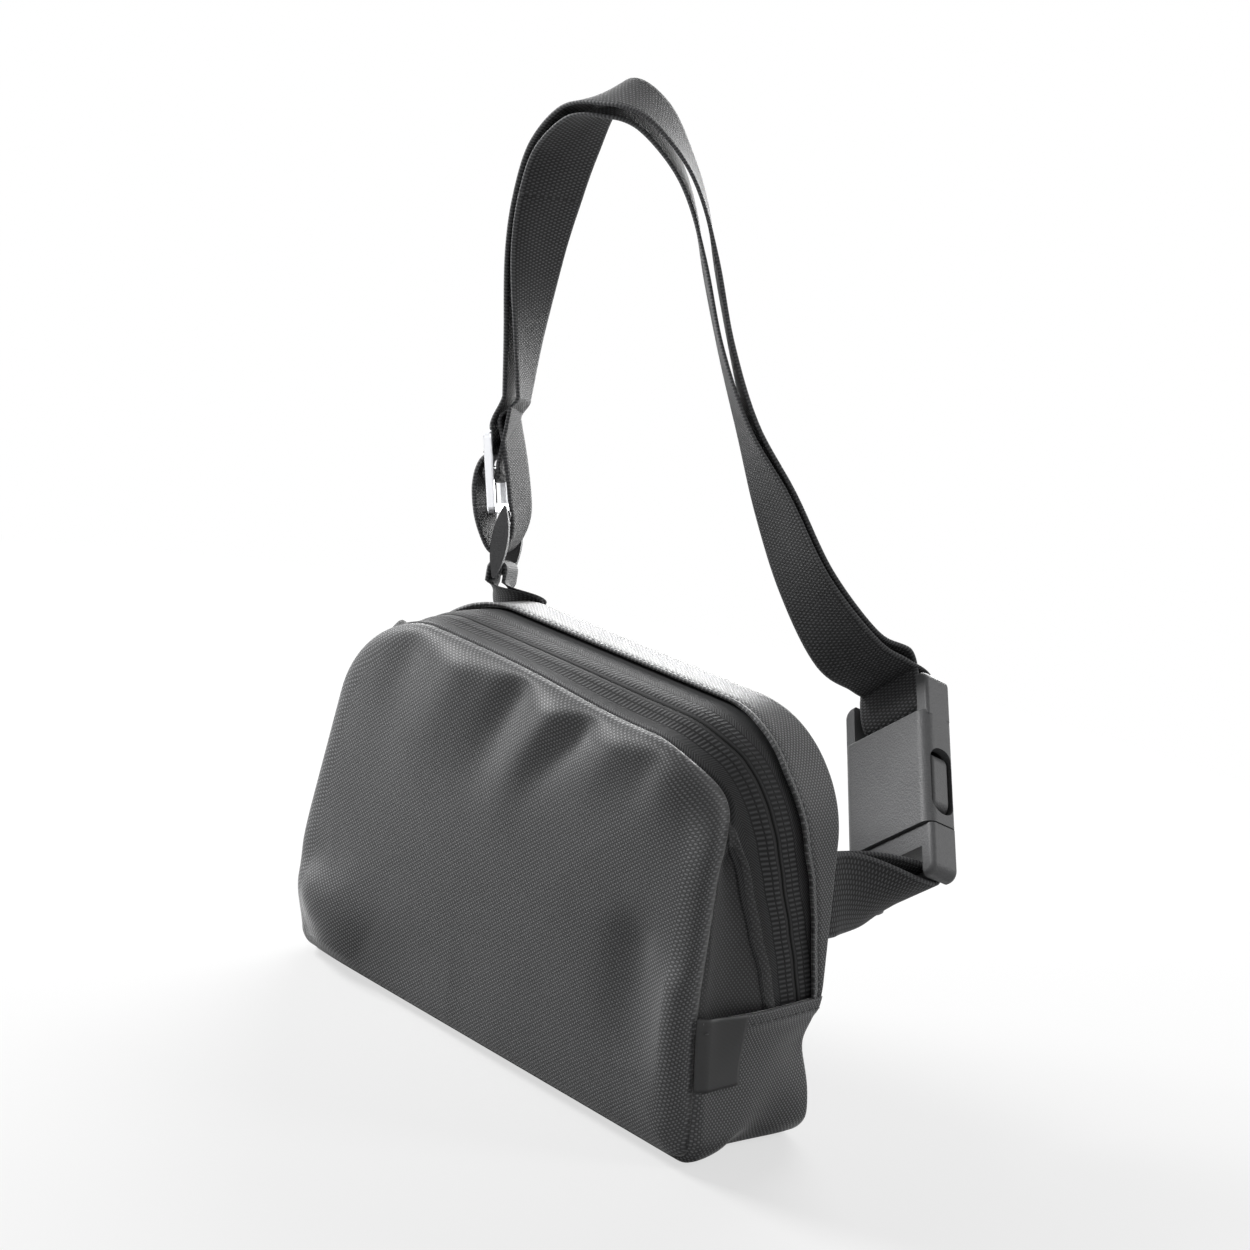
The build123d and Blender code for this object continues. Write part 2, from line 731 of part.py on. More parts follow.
def anchor_webbing():
    """Webbing sewn in the right back seam and folded round the buckle's lower bar."""
    seam_x = base_width / 2 - anchor_height * side_slope
    seam = Vector(seam_x - 1.0, half_depth + skin + 0.2, anchor_height)
    across = buckle.x_dir
    out = Vector(0, 1, 0).cross(across).normalized()
    gap = webbing_thickness / 2 + sewn_gap
    start_a = seam + seam_out * gap
    start_b = seam - seam_out * gap
    ahead = Vector(0, 1, 0)
    side_a = [(start_a, seam_tilt, seam_out), (start_a + ahead * 3, seam_tilt, seam_out)]
    side_b = [(start_b, seam_tilt, seam_out), (start_b + ahead * 3, seam_tilt, seam_out)]
    turn = []
    forward = across.cross(out) * -1
    if forward.Y < 0:
        forward = forward * -1
    for k in range(9):
        angle = pi * k / 8
        spoke = out * cos(angle) + forward * sin(angle)
        turn.append((buckle_origin + spoke * male_turn, across, spoke))
    return folded(side_a, side_b, turn)


# ---------------------------------------------------------------- output
os.makedirs("parts", exist_ok=True)
facing = front_facing()
front_edge = shifted(front_fold, -tape_tuck)
front_edge = front_edge[:-1] + [(-half_depth, front_fold[-1][1] - 4.0)]
front_of_centre = [(-half_depth + 0.01, centre_line[-1][1])]
tape_front_low = front_edge + front_of_centre
middle_low = shifted(centre_line, -tape_gap / 2)
middle_high = shifted(centre_line, tape_gap / 2)
coil_low = shifted(centre_line, -tape_gap / 2 - coil_width)
coil_high = shifted(centre_line, tape_gap / 2 + coil_width)
rear_edge = shifted(rear_fold, tape_tuck)
room = slider_frame * slider_notch()
nodes = {
    "front_panel": front_panel(),
    "back_panel": back_panel(),
    "base_gusset": base_gusset(),
    "front_facing_left": facing & half_space_left,
    "front_facing_right": facing & half_space_right,
    "rear_facing": rear_facing(),
    "zip_tape_front": tape(tape_front_low, middle_low) - room,
    "zip_tape_rear": tape(middle_high, rear_edge) - room,
    "zip_coil_front": coil(coil_low, middle_low) - room,
    "zip_coil_rear": coil(middle_high, coil_high) - room,
    "zip_slider": zip_slider(),
    "zip_pull": zip_pull(),
    "label": label(),
    "ring_tab": ring_tab(),
    "loop_ring": loop_ring(),
    "tri_glide": tri_glide(),
    "strap_glide_wrap": strap_glide_wrap(),
    "strap_tail": strap_tail(),
    "strap_ring_turn": strap_ring_turn(),
    "strap_inner_start": strap_inner_start(),
    "strap_outer_start": strap_outer_start(),
    "strap_inner": ribbon(layer(-1, 1, release_from)),
    "strap_outer": ribbon(layer(1, 1, release_from)),
    "strap_inner_end": strap_end(-1),
    "strap_outer_end": strap_end(1),
    "strap_buckle_turn": strap_buckle_turn(),
    "buckle_female": buckle_female(),
    "buckle_male": buckle_male(),
    "buckle_prong_left": buckle_prong(-1),
    "buckle_prong_right": buckle_prong(1),
    "anchor_webbing": anchor_webbing(),
}
for name, shape in nodes.items():
    export_step(shape, f"parts/{name}.step")
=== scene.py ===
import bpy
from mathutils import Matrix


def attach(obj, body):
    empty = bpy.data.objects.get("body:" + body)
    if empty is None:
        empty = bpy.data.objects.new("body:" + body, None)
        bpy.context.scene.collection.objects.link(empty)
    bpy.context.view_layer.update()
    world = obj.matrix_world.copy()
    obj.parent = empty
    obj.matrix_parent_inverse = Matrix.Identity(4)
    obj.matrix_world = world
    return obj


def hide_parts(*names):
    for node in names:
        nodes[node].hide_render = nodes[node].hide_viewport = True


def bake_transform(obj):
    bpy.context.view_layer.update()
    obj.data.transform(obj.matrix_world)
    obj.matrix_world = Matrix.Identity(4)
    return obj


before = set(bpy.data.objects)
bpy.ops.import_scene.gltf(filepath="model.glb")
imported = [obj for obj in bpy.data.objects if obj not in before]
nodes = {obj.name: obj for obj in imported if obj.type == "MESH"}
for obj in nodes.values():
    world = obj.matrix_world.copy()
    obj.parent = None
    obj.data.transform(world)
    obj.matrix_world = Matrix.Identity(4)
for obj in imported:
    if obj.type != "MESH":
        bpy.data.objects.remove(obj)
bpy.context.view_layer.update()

# %% [markdown]
# # A small zipped waist bag with a webbing belt
# The bag stands on its base, its front panel faces -Y and the belt stands over it as a loop.
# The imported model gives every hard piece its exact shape, and those pieces only need a finish.
# Cloth, zip tapes, webbing, label and thread are soft, so they are made here as thin curved
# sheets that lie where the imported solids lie.

# %% Tools
import math

import bmesh
import bpy
from mathutils import Matrix, Vector
from mathutils.kdtree import KDTree

MM = 0.001
scene = bpy.context.scene
print("packed pieces:", len(nodes))

# %% [markdown]
# ## Camera, backdrop and light
# The camera looks down a little from the buckle side and is rolled, so the bag leans in the
# frame. The background is white for the camera and for reflections only, because a bright world
# would wash the charcoal cloth out. A broad lamp behind gives the thin bright rims.

# %% Camera
view_back = Vector((0.634, -0.737, 0.232)).normalized()
view_right = Vector((0.716, 0.673, 0.184))
view_right = (view_right - view_back * view_right.dot(view_back)).normalized()
view_up = view_back.cross(view_right)
look_at = Vector((0, 0, 0.07))
DISTANCE, ASIDE, ABOVE = 0.894, 0.0222, 0.0795
place = look_at + view_back * DISTANCE + view_right * ASIDE + view_up * ABOVE
camera_data = bpy.data.cameras.new("camera")
camera_data.lens = 72.36
camera_data.sensor_width = 36.0
camera = bpy.data.objects.new("camera", camera_data)
turn = Matrix((view_right, view_up, view_back)).transposed().to_4x4()
camera.matrix_world = Matrix.Translation(place) @ turn
scene.collection.objects.link(camera)
scene.camera = camera
scene.view_settings.view_transform = "Standard"
print("camera at", [round(c, 3) for c in place])

# %% [markdown]
# ## A small language for shader nodes
# A weave is easier to read as a formula than as a web of nodes. One small class wraps a node's
# output, so that adding or multiplying two outputs adds the Math node that does it. Another
# class makes any other node from its type, its settings and its sockets.

# %% Signals and graphs
class Signal:
    """A node's output that can be used in an expression."""

    def __init__(self, graph, socket):
        self.graph = graph
        self.socket = socket

    def maths(self, operation, *values):
        return self.graph.node("ShaderNodeMath", {"operation": operation}, dict(enumerate(values)))

    def __add__(self, other):
        return self.maths("ADD", self, other)

    def __radd__(self, other):
        return self.maths("ADD", other, self)

    def __sub__(self, other):
        return self.maths("SUBTRACT", self, other)

    def __rsub__(self, other):
        return self.maths("SUBTRACT", other, self)

    def __mul__(self, other):
        return self.maths("MULTIPLY", self, other)

    def __rmul__(self, other):
        return self.maths("MULTIPLY", other, self)

    def __truediv__(self, other):
        return self.maths("DIVIDE", self, other)

    def __rtruediv__(self, other):
        return self.maths("DIVIDE", other, self)

    def __neg__(self):
        return self.maths("MULTIPLY", self, -1.0)

    def __abs__(self):
        return self.maths("ABSOLUTE", self)

    def sin(self):
        return self.maths("SINE", self)

    def at_least(self, other):
        return self.maths("MAXIMUM", self, other)

    def at_most(self, other):
        return self.maths("MINIMUM", self, other)

    def power(self, other):
        return self.maths("POWER", self, other)

    def over(self, edge, soft):
        """0 below the edge and 1 above it, with a soft step."""
        return ((self - edge) / soft + 0.5).at_least(0.0).at_most(1.0)


class Graph:
    """The node tree of one material or world."""

    def __init__(self, owner):
        owner.use_nodes = True
        self.tree = owner.node_tree
        self.tree.nodes.clear()

    def node(self, kind, settings=None, sockets=None, output=0):
        made = self.tree.nodes.new(kind)
        for name, value in (settings or {}).items():
            setattr(made, name, value)
        for name, value in (sockets or {}).items():
            if isinstance(value, Signal):
                self.tree.links.new(value.socket, made.inputs[name])
            else:
                made.inputs[name].default_value = value
        if kind.startswith("ShaderNodeOutput"):
            return made
        return Signal(self, made.outputs[output])


def grey(value):
    return (value, value * 1.01, value * 1.04, 1.0)


def blend_colour(graph, factor, low, high):
    settings = {"data_type": "RGBA"}
    return graph.node("ShaderNodeMix", settings, {0: factor, 6: low, 7: high}, output=2)


def finish_material(graph, sockets, height=None, distance=0.0003, strength=0.6):
    """Close a graph with a bump and the surface shader."""
    if height is not None:
        bump = {"Height": height, "Distance": distance, "Strength": strength}
        sockets["Normal"] = graph.node("ShaderNodeBump", {}, bump)
    surface = graph.node("ShaderNodeBsdfPrincipled", {}, sockets)
    graph.node("ShaderNodeOutputMaterial", {}, {"Surface": surface})

finish_of = {}


def new_material(slot):
    """A material named after a slot and kept under the slot's name."""
    material = bpy.data.materials.new(slot + "_finish")
    finish_of[slot] = material
    return material, Graph(material)

print("shader helpers ready")

# %% [markdown]
# ## World, floor and lamps
# The cloth is nearly black, so its shape shows only by soft light from the sides and behind.
# The world is dim for the cloth but white for the camera and for reflections. The floor does
# the same under the bag, keeps its shadow and turns wholly white further out.

# %% World
DIM_WORLD = 0.12
world = bpy.data.worlds.new("studio")
scene.world = world
air = Graph(world)
ray = [air.node("ShaderNodeLightPath", {}, {}, output=i) for i in (0, 3, 6)]
seen = (ray[0] + ray[1] + ray[2]).at_most(1.0)
strength = DIM_WORLD + seen * (1 - DIM_WORLD)
glow = air.node("ShaderNodeBackground", {}, {"Color": (1, 1, 1, 1), "Strength": strength})
air.node("ShaderNodeOutputWorld", {}, {"Surface": glow})
print("world ready")

# %% Floor
floor_material, g = new_material("studio_floor")
seen = g.node("ShaderNodeLightPath", {}, {}, output=0)
place = g.node("ShaderNodeTexCoord", {}, {}, output=3)
far = g.node("ShaderNodeVectorMath", {"operation": "LENGTH"}, {0: place}, output=1)
clear = 0.66 + 0.34 * far.over(0.42, 0.5)
matt = g.node("ShaderNodeBsdfDiffuse", {}, {"Color": (0.62, 0.62, 0.62, 1)})
lit = g.node("ShaderNodeEmission", {}, {"Color": (1, 1, 1, 1), "Strength": 1.0})
mixed = g.node("ShaderNodeMixShader", {}, {0: seen * clear, 1: matt, 2: lit})
g.node("ShaderNodeOutputMaterial", {}, {"Surface": mixed})
work = bmesh.new()
bmesh.ops.create_grid(work, x_segments=1, y_segments=1, size=6.0)
floor_mesh = bpy.data.meshes.new("floor")
work.to_mesh(floor_mesh)
work.free()
floor = bpy.data.objects.new("floor", floor_mesh)
floor_mesh.materials.append(floor_material)
scene.collection.objects.link(floor)
print("floor ready")

# %% Lamps
def lamp(name, position, aim, size, power):
    """A round, soft lamp that the camera doesn't see."""
    data = bpy.data.lights.new(name, "AREA")
    data.shape = "DISK"
    data.size = size
    data.energy = power
    made = bpy.data.objects.new(name, data)
    made.location = position
    made.rotation_euler = (Vector(aim) - Vector(position)).to_track_quat("-Z", "Y").to_euler()
    made.visible_camera = False
    scene.collection.objects.link(made)

middle = (0, 0.02, 0.12)
lamp("lamp_behind", (-0.62, 0.95, 0.42), middle, 0.9, 27.0)
lamp("lamp_left", (-0.72, -0.28, 0.62), middle, 0.35, 12.0)
lamp("lamp_front", (0.5, -1.2, 0.6), middle, 0.8, 0.8)
lamp("lamp_right", (0.9, 1.0, 0.9), middle, 0.5, 6.0)
print("stage ready")

# %% [markdown]
# ## Finishes
# The shell is a coated basket weave, so its small crossings catch the light as dots. The zip
# tape is a herringbone with two sewn rows beside its middle. Webbing shows staggered ribs and
# a row of bright loops along each selvedge. Each pattern follows the piece's own UV map, which
# is laid out in metres, so that it bends with the cloth.

# %% Weaves
def cloth_axes(graph):
    uv = graph.node("ShaderNodeUVMap", {"uv_map": "cloth"}, {})
    return [graph.node("ShaderNodeSeparateXYZ", {}, {0: uv}, output=i) for i in (0, 1)]


def plain_weave(u, v, pitch_u, pitch_v, under):
    """Raised crossings in a chequer, with lower ones in between."""
    wave = (u * (math.pi / pitch_u)).sin() * (v * (math.pi / pitch_v)).sin()
    return wave.at_least(0.0) + (-wave).at_least(0.0) * under


def cloudy(graph, scale, detail=3.0):
    place = graph.node("ShaderNodeTexCoord", {}, {}, output=3)
    sockets = {"Vector": place, "Scale": scale, "Detail": detail}
    return graph.node("ShaderNodeTexNoise", {"noise_dimensions": "3D"}, sockets)

print("weave helpers ready")

# %% [markdown]
# ### Shell cloth, and wedge cloth with painted shade
# The bag's cloth is a coarse plain weave with a faint sheen. Its crossings are nearly a
# millimetre apart. The wedges of cloth in front of the zip get a darker pair of greys in the
# same weave, which is partly a darker cloth and partly painted shade of their recess.

# %% Shell cloth and wedge cloth with painted shade
def woven_cloth(slot, low, high):
    """The bag's plain weave between two greys."""
    made, g = new_material(slot)
    u, v = cloth_axes(g)
    dots = plain_weave(u, v, 0.88 * MM, 0.76 * MM, 0.12).power(0.7)
    patches = cloudy(g, 22.0)
    yarn = cloudy(g, 900.0, 1.0)
    tone = dots * 0.85 + patches * 0.22 + yarn * 0.1 - 0.14
    colour = blend_colour(g, tone.at_least(0.0).at_most(1.0), grey(low), grey(high))
    sheen = {"Base Color": colour, "Roughness": 0.62 - dots * 0.16, "Specular IOR Level": 0.5}
    sheen.update({"Sheen Weight": 0.5 * high / 0.2, "Sheen Roughness": 0.3})
    finish_material(g, sheen, dots, 0.00012, 0.8)
    return made

shell_cloth = woven_cloth("shell_cloth", 0.008, 0.2)
# The wedges' darker greys are painted shade of their recess, partly a darker cloth.
wedge_cloth_painted_shade = woven_cloth("wedge_cloth_painted_shade", 0.005, 0.08)
print("cloth finishes ready")

# %% [markdown]
# ### Zip tape
# The tape is woven as a herringbone. Two rows of short bars run along the coil, where the tape
# is sewn to it. All of it is measured from the zip's middle, which is where V is nought.

# %% Zip tape
zip_tape, g = new_material("zip_tape")
u, v = cloth_axes(g)
away = abs(v)
chevron = abs(away - 12.6 * MM) * 0.9
stripes = ((u + chevron) * (2 * math.pi / (1.1 * MM))).sin() * 0.5 + 0.5
bars = (u * (2 * math.pi / (1.75 * MM))).sin() * 0.5 + 0.5
row_one = away.over(1.9 * MM, 0.3 * MM) * (1.0 - away.over(4.5 * MM, 0.3 * MM))
row_two = away.over(5.2 * MM, 0.3 * MM) * (1.0 - away.over(8.4 * MM, 0.3 * MM))
centre = 1.0 - away.over(0.35 * MM, 0.2 * MM)
plain = away.over(0.8 * MM, 0.2 * MM) * (1.0 - away.over(1.6 * MM, 0.2 * MM))
outer = away.over(9.0 * MM, 0.3 * MM)
height = (row_one + row_two) * bars.power(1.5) + outer * (stripes * 0.75) + plain * 0.35
tone = (height * 0.8 - centre * 0.2 + cloudy(g, 40.0) * 0.15).at_least(0.0).at_most(1.0)
colour = blend_colour(g, tone, grey(0.004), grey(0.085))
tape = {"Base Color": colour, "Roughness": 0.75, "Specular IOR Level": 0.2}
finish_material(g, tape, height, 0.0002, 0.8)
print("zip tape finish ready")

# %% [markdown]
# ### Webbing, thread and label
# Webbing has ribs that are longer than they are wide, staggered like bricks, and its selvedges
# show one bright loop of yarn after another. Thread and label are finer and plainer.

# %% Webbing, thread and label
webbing, g = new_material("webbing")
u, v = cloth_axes(g)
ribs = plain_weave(u, v, 0.65 * MM, 1.85 * MM, 0.1).power(0.8)
edge = abs(v).over(13.9 * MM, 0.25 * MM)
loops = (u * (2 * math.pi / (1.3 * MM))).sin() * 0.5 + 0.5
height = ribs * (1.0 - edge) + edge * (0.35 + loops * 0.8)
tone = (height * 0.85 + cloudy(g, 40.0) * 0.25 - 0.12).at_least(0.0).at_most(1.0)
colour = blend_colour(g, tone, grey(0.01), grey(0.15))
belt = {"Base Color": colour, "Roughness": 0.75, "Specular IOR Level": 0.35}
finish_material(g, belt, height, 0.0002, 0.8)

thread, g = new_material("thread")
twist = cloudy(g, 1500.0, 1.0)
colour = blend_colour(g, twist, grey(0.02), grey(0.06))
finish_material(g, {"Base Color": colour, "Roughness": 0.55}, twist, 0.0001, 0.5)

label_satin, g = new_material("label_satin")
u, v = cloth_axes(g)
fine = (u * (2 * math.pi / (0.45 * MM))).sin() * 0.5 + 0.5
colour = blend_colour(g, fine * 0.5 + cloudy(g, 60.0) * 0.5, grey(0.016), grey(0.035))
satin = {"Base Color": colour, "Roughness": 0.42, "Anisotropic": 0.4}
finish_material(g, satin, fine, 0.00008, 0.5)
print("webbing, thread and label finishes ready")

# %% [markdown]
# ### Hard finishes
# The buckle is moulded plastic with a fine grain. The adjuster is bright drawn metal with faint
# lines along it. The slider and the pull are black lacquered metal.

# %% Hard finishes
_, g = new_material("moulded_plastic")
grain = cloudy(g, 1400.0, 2.0)
broad = cloudy(g, 60.0)
colour = blend_colour(g, broad * 0.5 + grain * 0.7 - 0.1, grey(0.05), grey(0.13))
plastic = {"Base Color": colour, "Roughness": 0.42 + grain * 0.2, "Specular IOR Level": 0.5}
finish_material(g, plastic, grain, 0.00022, 0.7)

_, g = new_material("adjuster_metal")
place = g.node("ShaderNodeTexCoord", {}, {}, output=3)
stretched = g.node("ShaderNodeMapping", {}, {"Vector": place, "Scale": (900.0, 900.0, 60.0)})
lines = g.node("ShaderNodeTexNoise", {}, {"Vector": stretched, "Scale": 1.0, "Detail": 2.0})
colour = blend_colour(g, lines, grey(0.74), grey(0.86))
metal = {"Base Color": colour, "Metallic": 1.0, "Roughness": 0.26 + lines * 0.14}
finish_material(g, metal, lines, 0.00003, 0.4)

_, g = new_material("zip_metal")
speck = cloudy(g, 700.0, 2.0)
colour = blend_colour(g, speck, grey(0.02), grey(0.045))
lacquer = {"Base Color": colour, "Roughness": 0.34 + speck * 0.12, "Coat Weight": 0.3}
finish_material(g, lacquer, speck, 0.00003, 0.4)

_, g = new_material("zip_coil")
fine = cloudy(g, 500.0, 2.0)
colour = blend_colour(g, fine, grey(0.02), grey(0.06))
finish_material(g, {"Base Color": colour, "Roughness": 0.6}, fine, 0.00005, 0.5)
print("finishes:", len(bpy.data.materials))

# %% [markdown]
# ## The bag's outline
# Front and back panels share one outline: a wide base, leaning sides and two large top corners.
# The filled bag pushes its sides and top out by about three millimetres. Every soft piece is
# laid on this outline, and one settling function moves them all together, so seams stay shut.

# %% Outline
FOOT, HEAD, TALL, HALF_DEPTH = 107 * MM, 89 * MM, 140 * MM, 30 * MM
TOP_RADIUS, BASE_RADIUS = 42 * MM, 9 * MM
SEAM_Z = 49 * MM


def rounded_corner(before, corner, after, radius, steps=24):
    """Points on the arc that rounds a corner."""
    a = (before - corner).normalized()
    b = (after - corner).normalized()
    half = math.acos(max(-1.0, min(1.0, a.dot(b)))) / 2
    centre = corner + (a + b).normalized() * (radius / math.sin(half))
    start = corner + a * (radius / math.tan(half)) - centre
    end = corner + b * (radius / math.tan(half)) - centre
    sweep = start.angle_signed(end)
    out = []
    for k in range(steps + 1):
        angle = -sweep * k / steps
        turned = Vector((
            start.x * math.cos(angle) - start.y * math.sin(angle),
            start.x * math.sin(angle) + start.y * math.cos(angle),
        ))
        out.append(centre + turned)
    return out

corners = [Vector((FOOT, 0)), Vector((HEAD, TALL)), Vector((-HEAD, TALL)), Vector((-FOOT, 0))]
radii = [BASE_RADIUS, TOP_RADIUS, TOP_RADIUS, BASE_RADIUS]
loop = [Vector((0, 0))]
for k in range(4):
    loop += rounded_corner(corners[k - 1], corners[k], corners[(k + 1) % 4], radii[k])
loop.append(Vector((0, 0)))
STEP = 1.0 * MM
rim_points = [loop[0]]
for a, b in zip(loop, loop[1:]):
    pieces = max(1, round((b - a).length / STEP))
    for k in range(pieces):
        rim_points.append(a.lerp(b, (k + 1) / pieces))


def smooth_step(x, low, high):
    t = max(0.0, min(1.0, (x - low) / (high - low)))
    return t * t * (3 - 2 * t)

count = len(rim_points) - 1
rim_table = []
distance = 0.0
for i in range(count + 1):
    here = rim_points[i]
    ahead = rim_points[(i + 2) % count] - rim_points[(i - 2) % count]
    out = Vector((ahead.y, -ahead.x)).normalized()
    if rim_table:
        distance += (here - rim_table[-1][1]).length
    rim_table.append((distance, here, out))
RIM_LENGTH = distance


def rim(s):
    """Place and outward direction at a distance along the outline from the base's middle."""
    s = s % RIM_LENGTH
    low, high = 0, len(rim_table) - 1
    while high - low > 1:
        mid = (low + high) // 2
        if rim_table[mid][0] <= s:
            low = mid
        else:
            high = mid
    a, b = rim_table[low], rim_table[high]
    t = (s - a[0]) / max(b[0] - a[0], 1e-9)
    return a[1].lerp(b[1], t), a[2].lerp(b[2], t).normalized()

right_seam = next(d for d, p, _ in rim_table if p.x > 0 and p.y > SEAM_Z)
left_seam = RIM_LENGTH - right_seam
seams = right_seam / MM, left_seam / MM
print("outline %.0f mm, seams at %.0f and %.0f" % (RIM_LENGTH / MM, *seams))

# %% [markdown]
# ## How the filled bag settles
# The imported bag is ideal. A real one, filled and put down, has a slumped corner, a pinched side
# and a top seam that dips. These few smooth bumps are added to every soft point, whichever
# piece it is on, so that pieces which share a seam move together.

# %% Settling
def swell(x, z):
    """How far the filled bag pushes its outline out; the slider's side stays in."""
    low, high = (30 * MM, 56 * MM) if x > 0 else (92 * MM, 112 * MM)
    return 3.0 * MM * smooth_step(z, low, high)


def dimple(x, z, start, end, width):
    """1 on the line from start to end and falling off to its sides."""
    ax, az = start
    bx, bz = end
    dx, dz = bx - ax, bz - az
    t = max(0.0, min(1.0, ((x - ax) * dx + (z - az) * dz) / (dx * dx + dz * dz)))
    gap = math.hypot(x - ax - dx * t, z - az - dz * t)
    return math.exp(-((gap / (width * (1 + 0.5 * t))) ** 2)) * (1 - 0.75 * t * t)


def settle(p):
    """Moves a point of the ideal bag to where the soft, filled bag has it."""
    x, y, z = p.x / MM, p.y / MM, p.z / MM
    corner = math.exp(-(((x + 106) / 22) ** 2 + ((y + 32) / 30) ** 2 + ((z - 2) / 24) ** 2))
    x += 11.0 * corner
    y += 1.0 * corner
    ahead = 1 - smooth_step(y, -28, -6)
    dip = math.exp(-(((x - 46) / 42) ** 2)) * ahead * smooth_step(z, 104, 136)
    z -= 3.6 * dip
    pinch = math.exp(-(((x - 104) / 12) ** 2 + ((y - 30) / 16) ** 2 + ((z - 33) / 9) ** 2))
    x -= 3.0 * pinch
    belly = math.exp(-(((x - 106) / 14) ** 2 + ((y - 22) / 14) ** 2 + ((z - 12) / 12) ** 2))
    x += 2.2 * belly
    fold = dimple(y, z, (-24, 2), (6, 30), 6.0) * smooth_step(x, 85, 100)
    x += 2.0 * fold
    hollow = dimple(y, z, (-6, 4), (22, 12), 6.0) * smooth_step(x, 85, 100)
    x -= 2.5 * hollow
    return Vector((x * MM, y * MM, z * MM))


def seam_depth(x, z):
    """How far forward the front seam lies."""
    x, z = x / MM, z / MM
    back = 8.0 * math.exp(-(((x - 88) / 14) ** 2 + ((z - 124) / 17) ** 2))
    out = 3.0 * math.exp(-(((x - 99) / 16) ** 2 + ((z - 52) / 28) ** 2))
    return (-30 + back - out) * MM

print("settling ready")

# %% [markdown]
# ## Sheets laid on a rule
# Every piece of cloth starts as a flat grid. A rule says where each point of the grid lies on
# the bag and where it lies on the flat cloth. The second answer becomes the UV map, so the
# weave keeps its size. A Solidify modifier gives the sheet its thickness, on the inner side.

# %% Sheets laid on a rule
def add_object(name, mesh, material):
    made = bpy.data.objects.new(name, mesh)
    mesh.materials.append(material)
    scene.collection.objects.link(made)
    return made


def laid_sheet(name, columns, rows, rule, material, thickness, flip=False):
    """A grid whose points, and their place on the cloth, come from rule(u, v)."""
    work = bmesh.new()
    bmesh.ops.create_grid(work, x_segments=columns, y_segments=rows, size=0.5)
    cloth = {}
    for vert in work.verts:
        place, flat = rule(vert.co.x + 0.5, vert.co.y + 0.5)
        vert.co = place
        cloth[vert] = flat
    layer = work.loops.layers.uv.new("cloth")
    for face in work.faces:
        face.smooth = True
        for corner in face.loops:
            corner[layer].uv = cloth[corner.vert]
    if flip:
        bmesh.ops.reverse_faces(work, faces=work.faces)
    mesh = bpy.data.meshes.new(name)
    work.to_mesh(mesh)
    work.free()
    made = add_object(name, mesh, material)
    solid = made.modifiers.new("thickness", "SOLIDIFY")
    solid.thickness = thickness
    solid.offset = -1.0
    return made


def on_band(s, y, lift):
    """A point on the gusset: distance along the outline, depth, height over the outline."""
    place, out = rim(s)
    lift += swell(place.x, place.y) * smooth_step(y, -27 * MM, 0)
    return settle(Vector((place.x + out.x * lift, y, place.y + out.y * lift)))

print("sheet helpers ready")

# %% [markdown]
# ## Front and back panel
# The front panel rolls over at its seam and stands out about eight millimetres, with folds that
# hang down from the top seam where the zip gathers it. A simulation would find its own folds;
# here each fold is placed, so that it falls where such a bag has it.

# %% The seam line of a panel
INSET = 2.2 * MM
TUCK = 1.5 * MM
HEM = 0.9 * MM
OVERHANG = 2.4 * MM


class PanelOutline:
    """The line along which a panel is sewn, with or without the swell."""

    def __init__(self, swollen):
        line = [p - out * (INSET - swollen * swell(p.x, p.y)) for _, p, out in rim_table]
        self.low = min(p.y for p in line)
        self.high = max(p.y for p in line)
        self.halves = {}
        for side in (-1, 1):
            half = [(p.y, abs(p.x)) for p in line if p.x * side >= 0]
            self.halves[side] = sorted(half, key=lambda point: point[0])
        self.line = line
        self.outward = [out for _, _, out in rim_table]
        self.tree = KDTree(len(line))
        for i, p in enumerate(line):
            self.tree.insert((p.x, p.y, 0), i)
        self.tree.balance()

    def width(self, z, side):
        """Distance from the middle to the seam at a height."""
        half = self.halves[side]
        if z > self.high - 0.01 * MM:
            return max(x for h, x in half if h > self.high - 0.01 * MM)
        if z < self.low + 0.01 * MM:
            return max(x for h, x in half if h < self.low + 0.01 * MM)
        low, high = 0, len(half) - 1
        while high - low > 1:
            mid = (low + high) // 2
            if half[mid][0] <= z:
                low = mid
            else:
                high = mid
        a, b = half[low], half[high]
        t = 0.0 if b[0] - a[0] < 1e-9 else max(0.0, min(1.0, (z - a[0]) / (b[0] - a[0])))
        return a[1] + (b[1] - a[1]) * t

    def place(self, u, v):
        """The panel's own (x, z) and its distance to the seam."""
        z = self.low + (self.high - self.low) * (1 - math.cos(math.pi * v)) / 2
        x = (u * 2 - 1) * self.width(z, 1 if u > 0.5 else -1)
        here = Vector((x, z))
        near = self.tree.find((x, z, 0))[1]
        gap = 1.0
        for i in (near - 1, near):
            a, b = self.line[i], self.line[(i + 1) % len(self.line)]
            t = max(0.0, min(1.0, (here - a).dot(b - a) / max((b - a).length_squared, 1e-12)))
            gap = min(gap, (here - a.lerp(b, t)).length)
        return x, z, gap, self.outward[near]

front_outline = PanelOutline(0.0)
back_outline = PanelOutline(1.0)
print("seam lines:", len(front_outline.line), "points each")

# %% [markdown]
# ### Folds and crown
# Each fold is a line from a start to an end, in millimetres across and up, with a width and a
# depth. A negative depth presses the cloth in. The folds fade out at the seam, where stitches
# hold the cloth, and the crown between the seams comes from two plain curves.

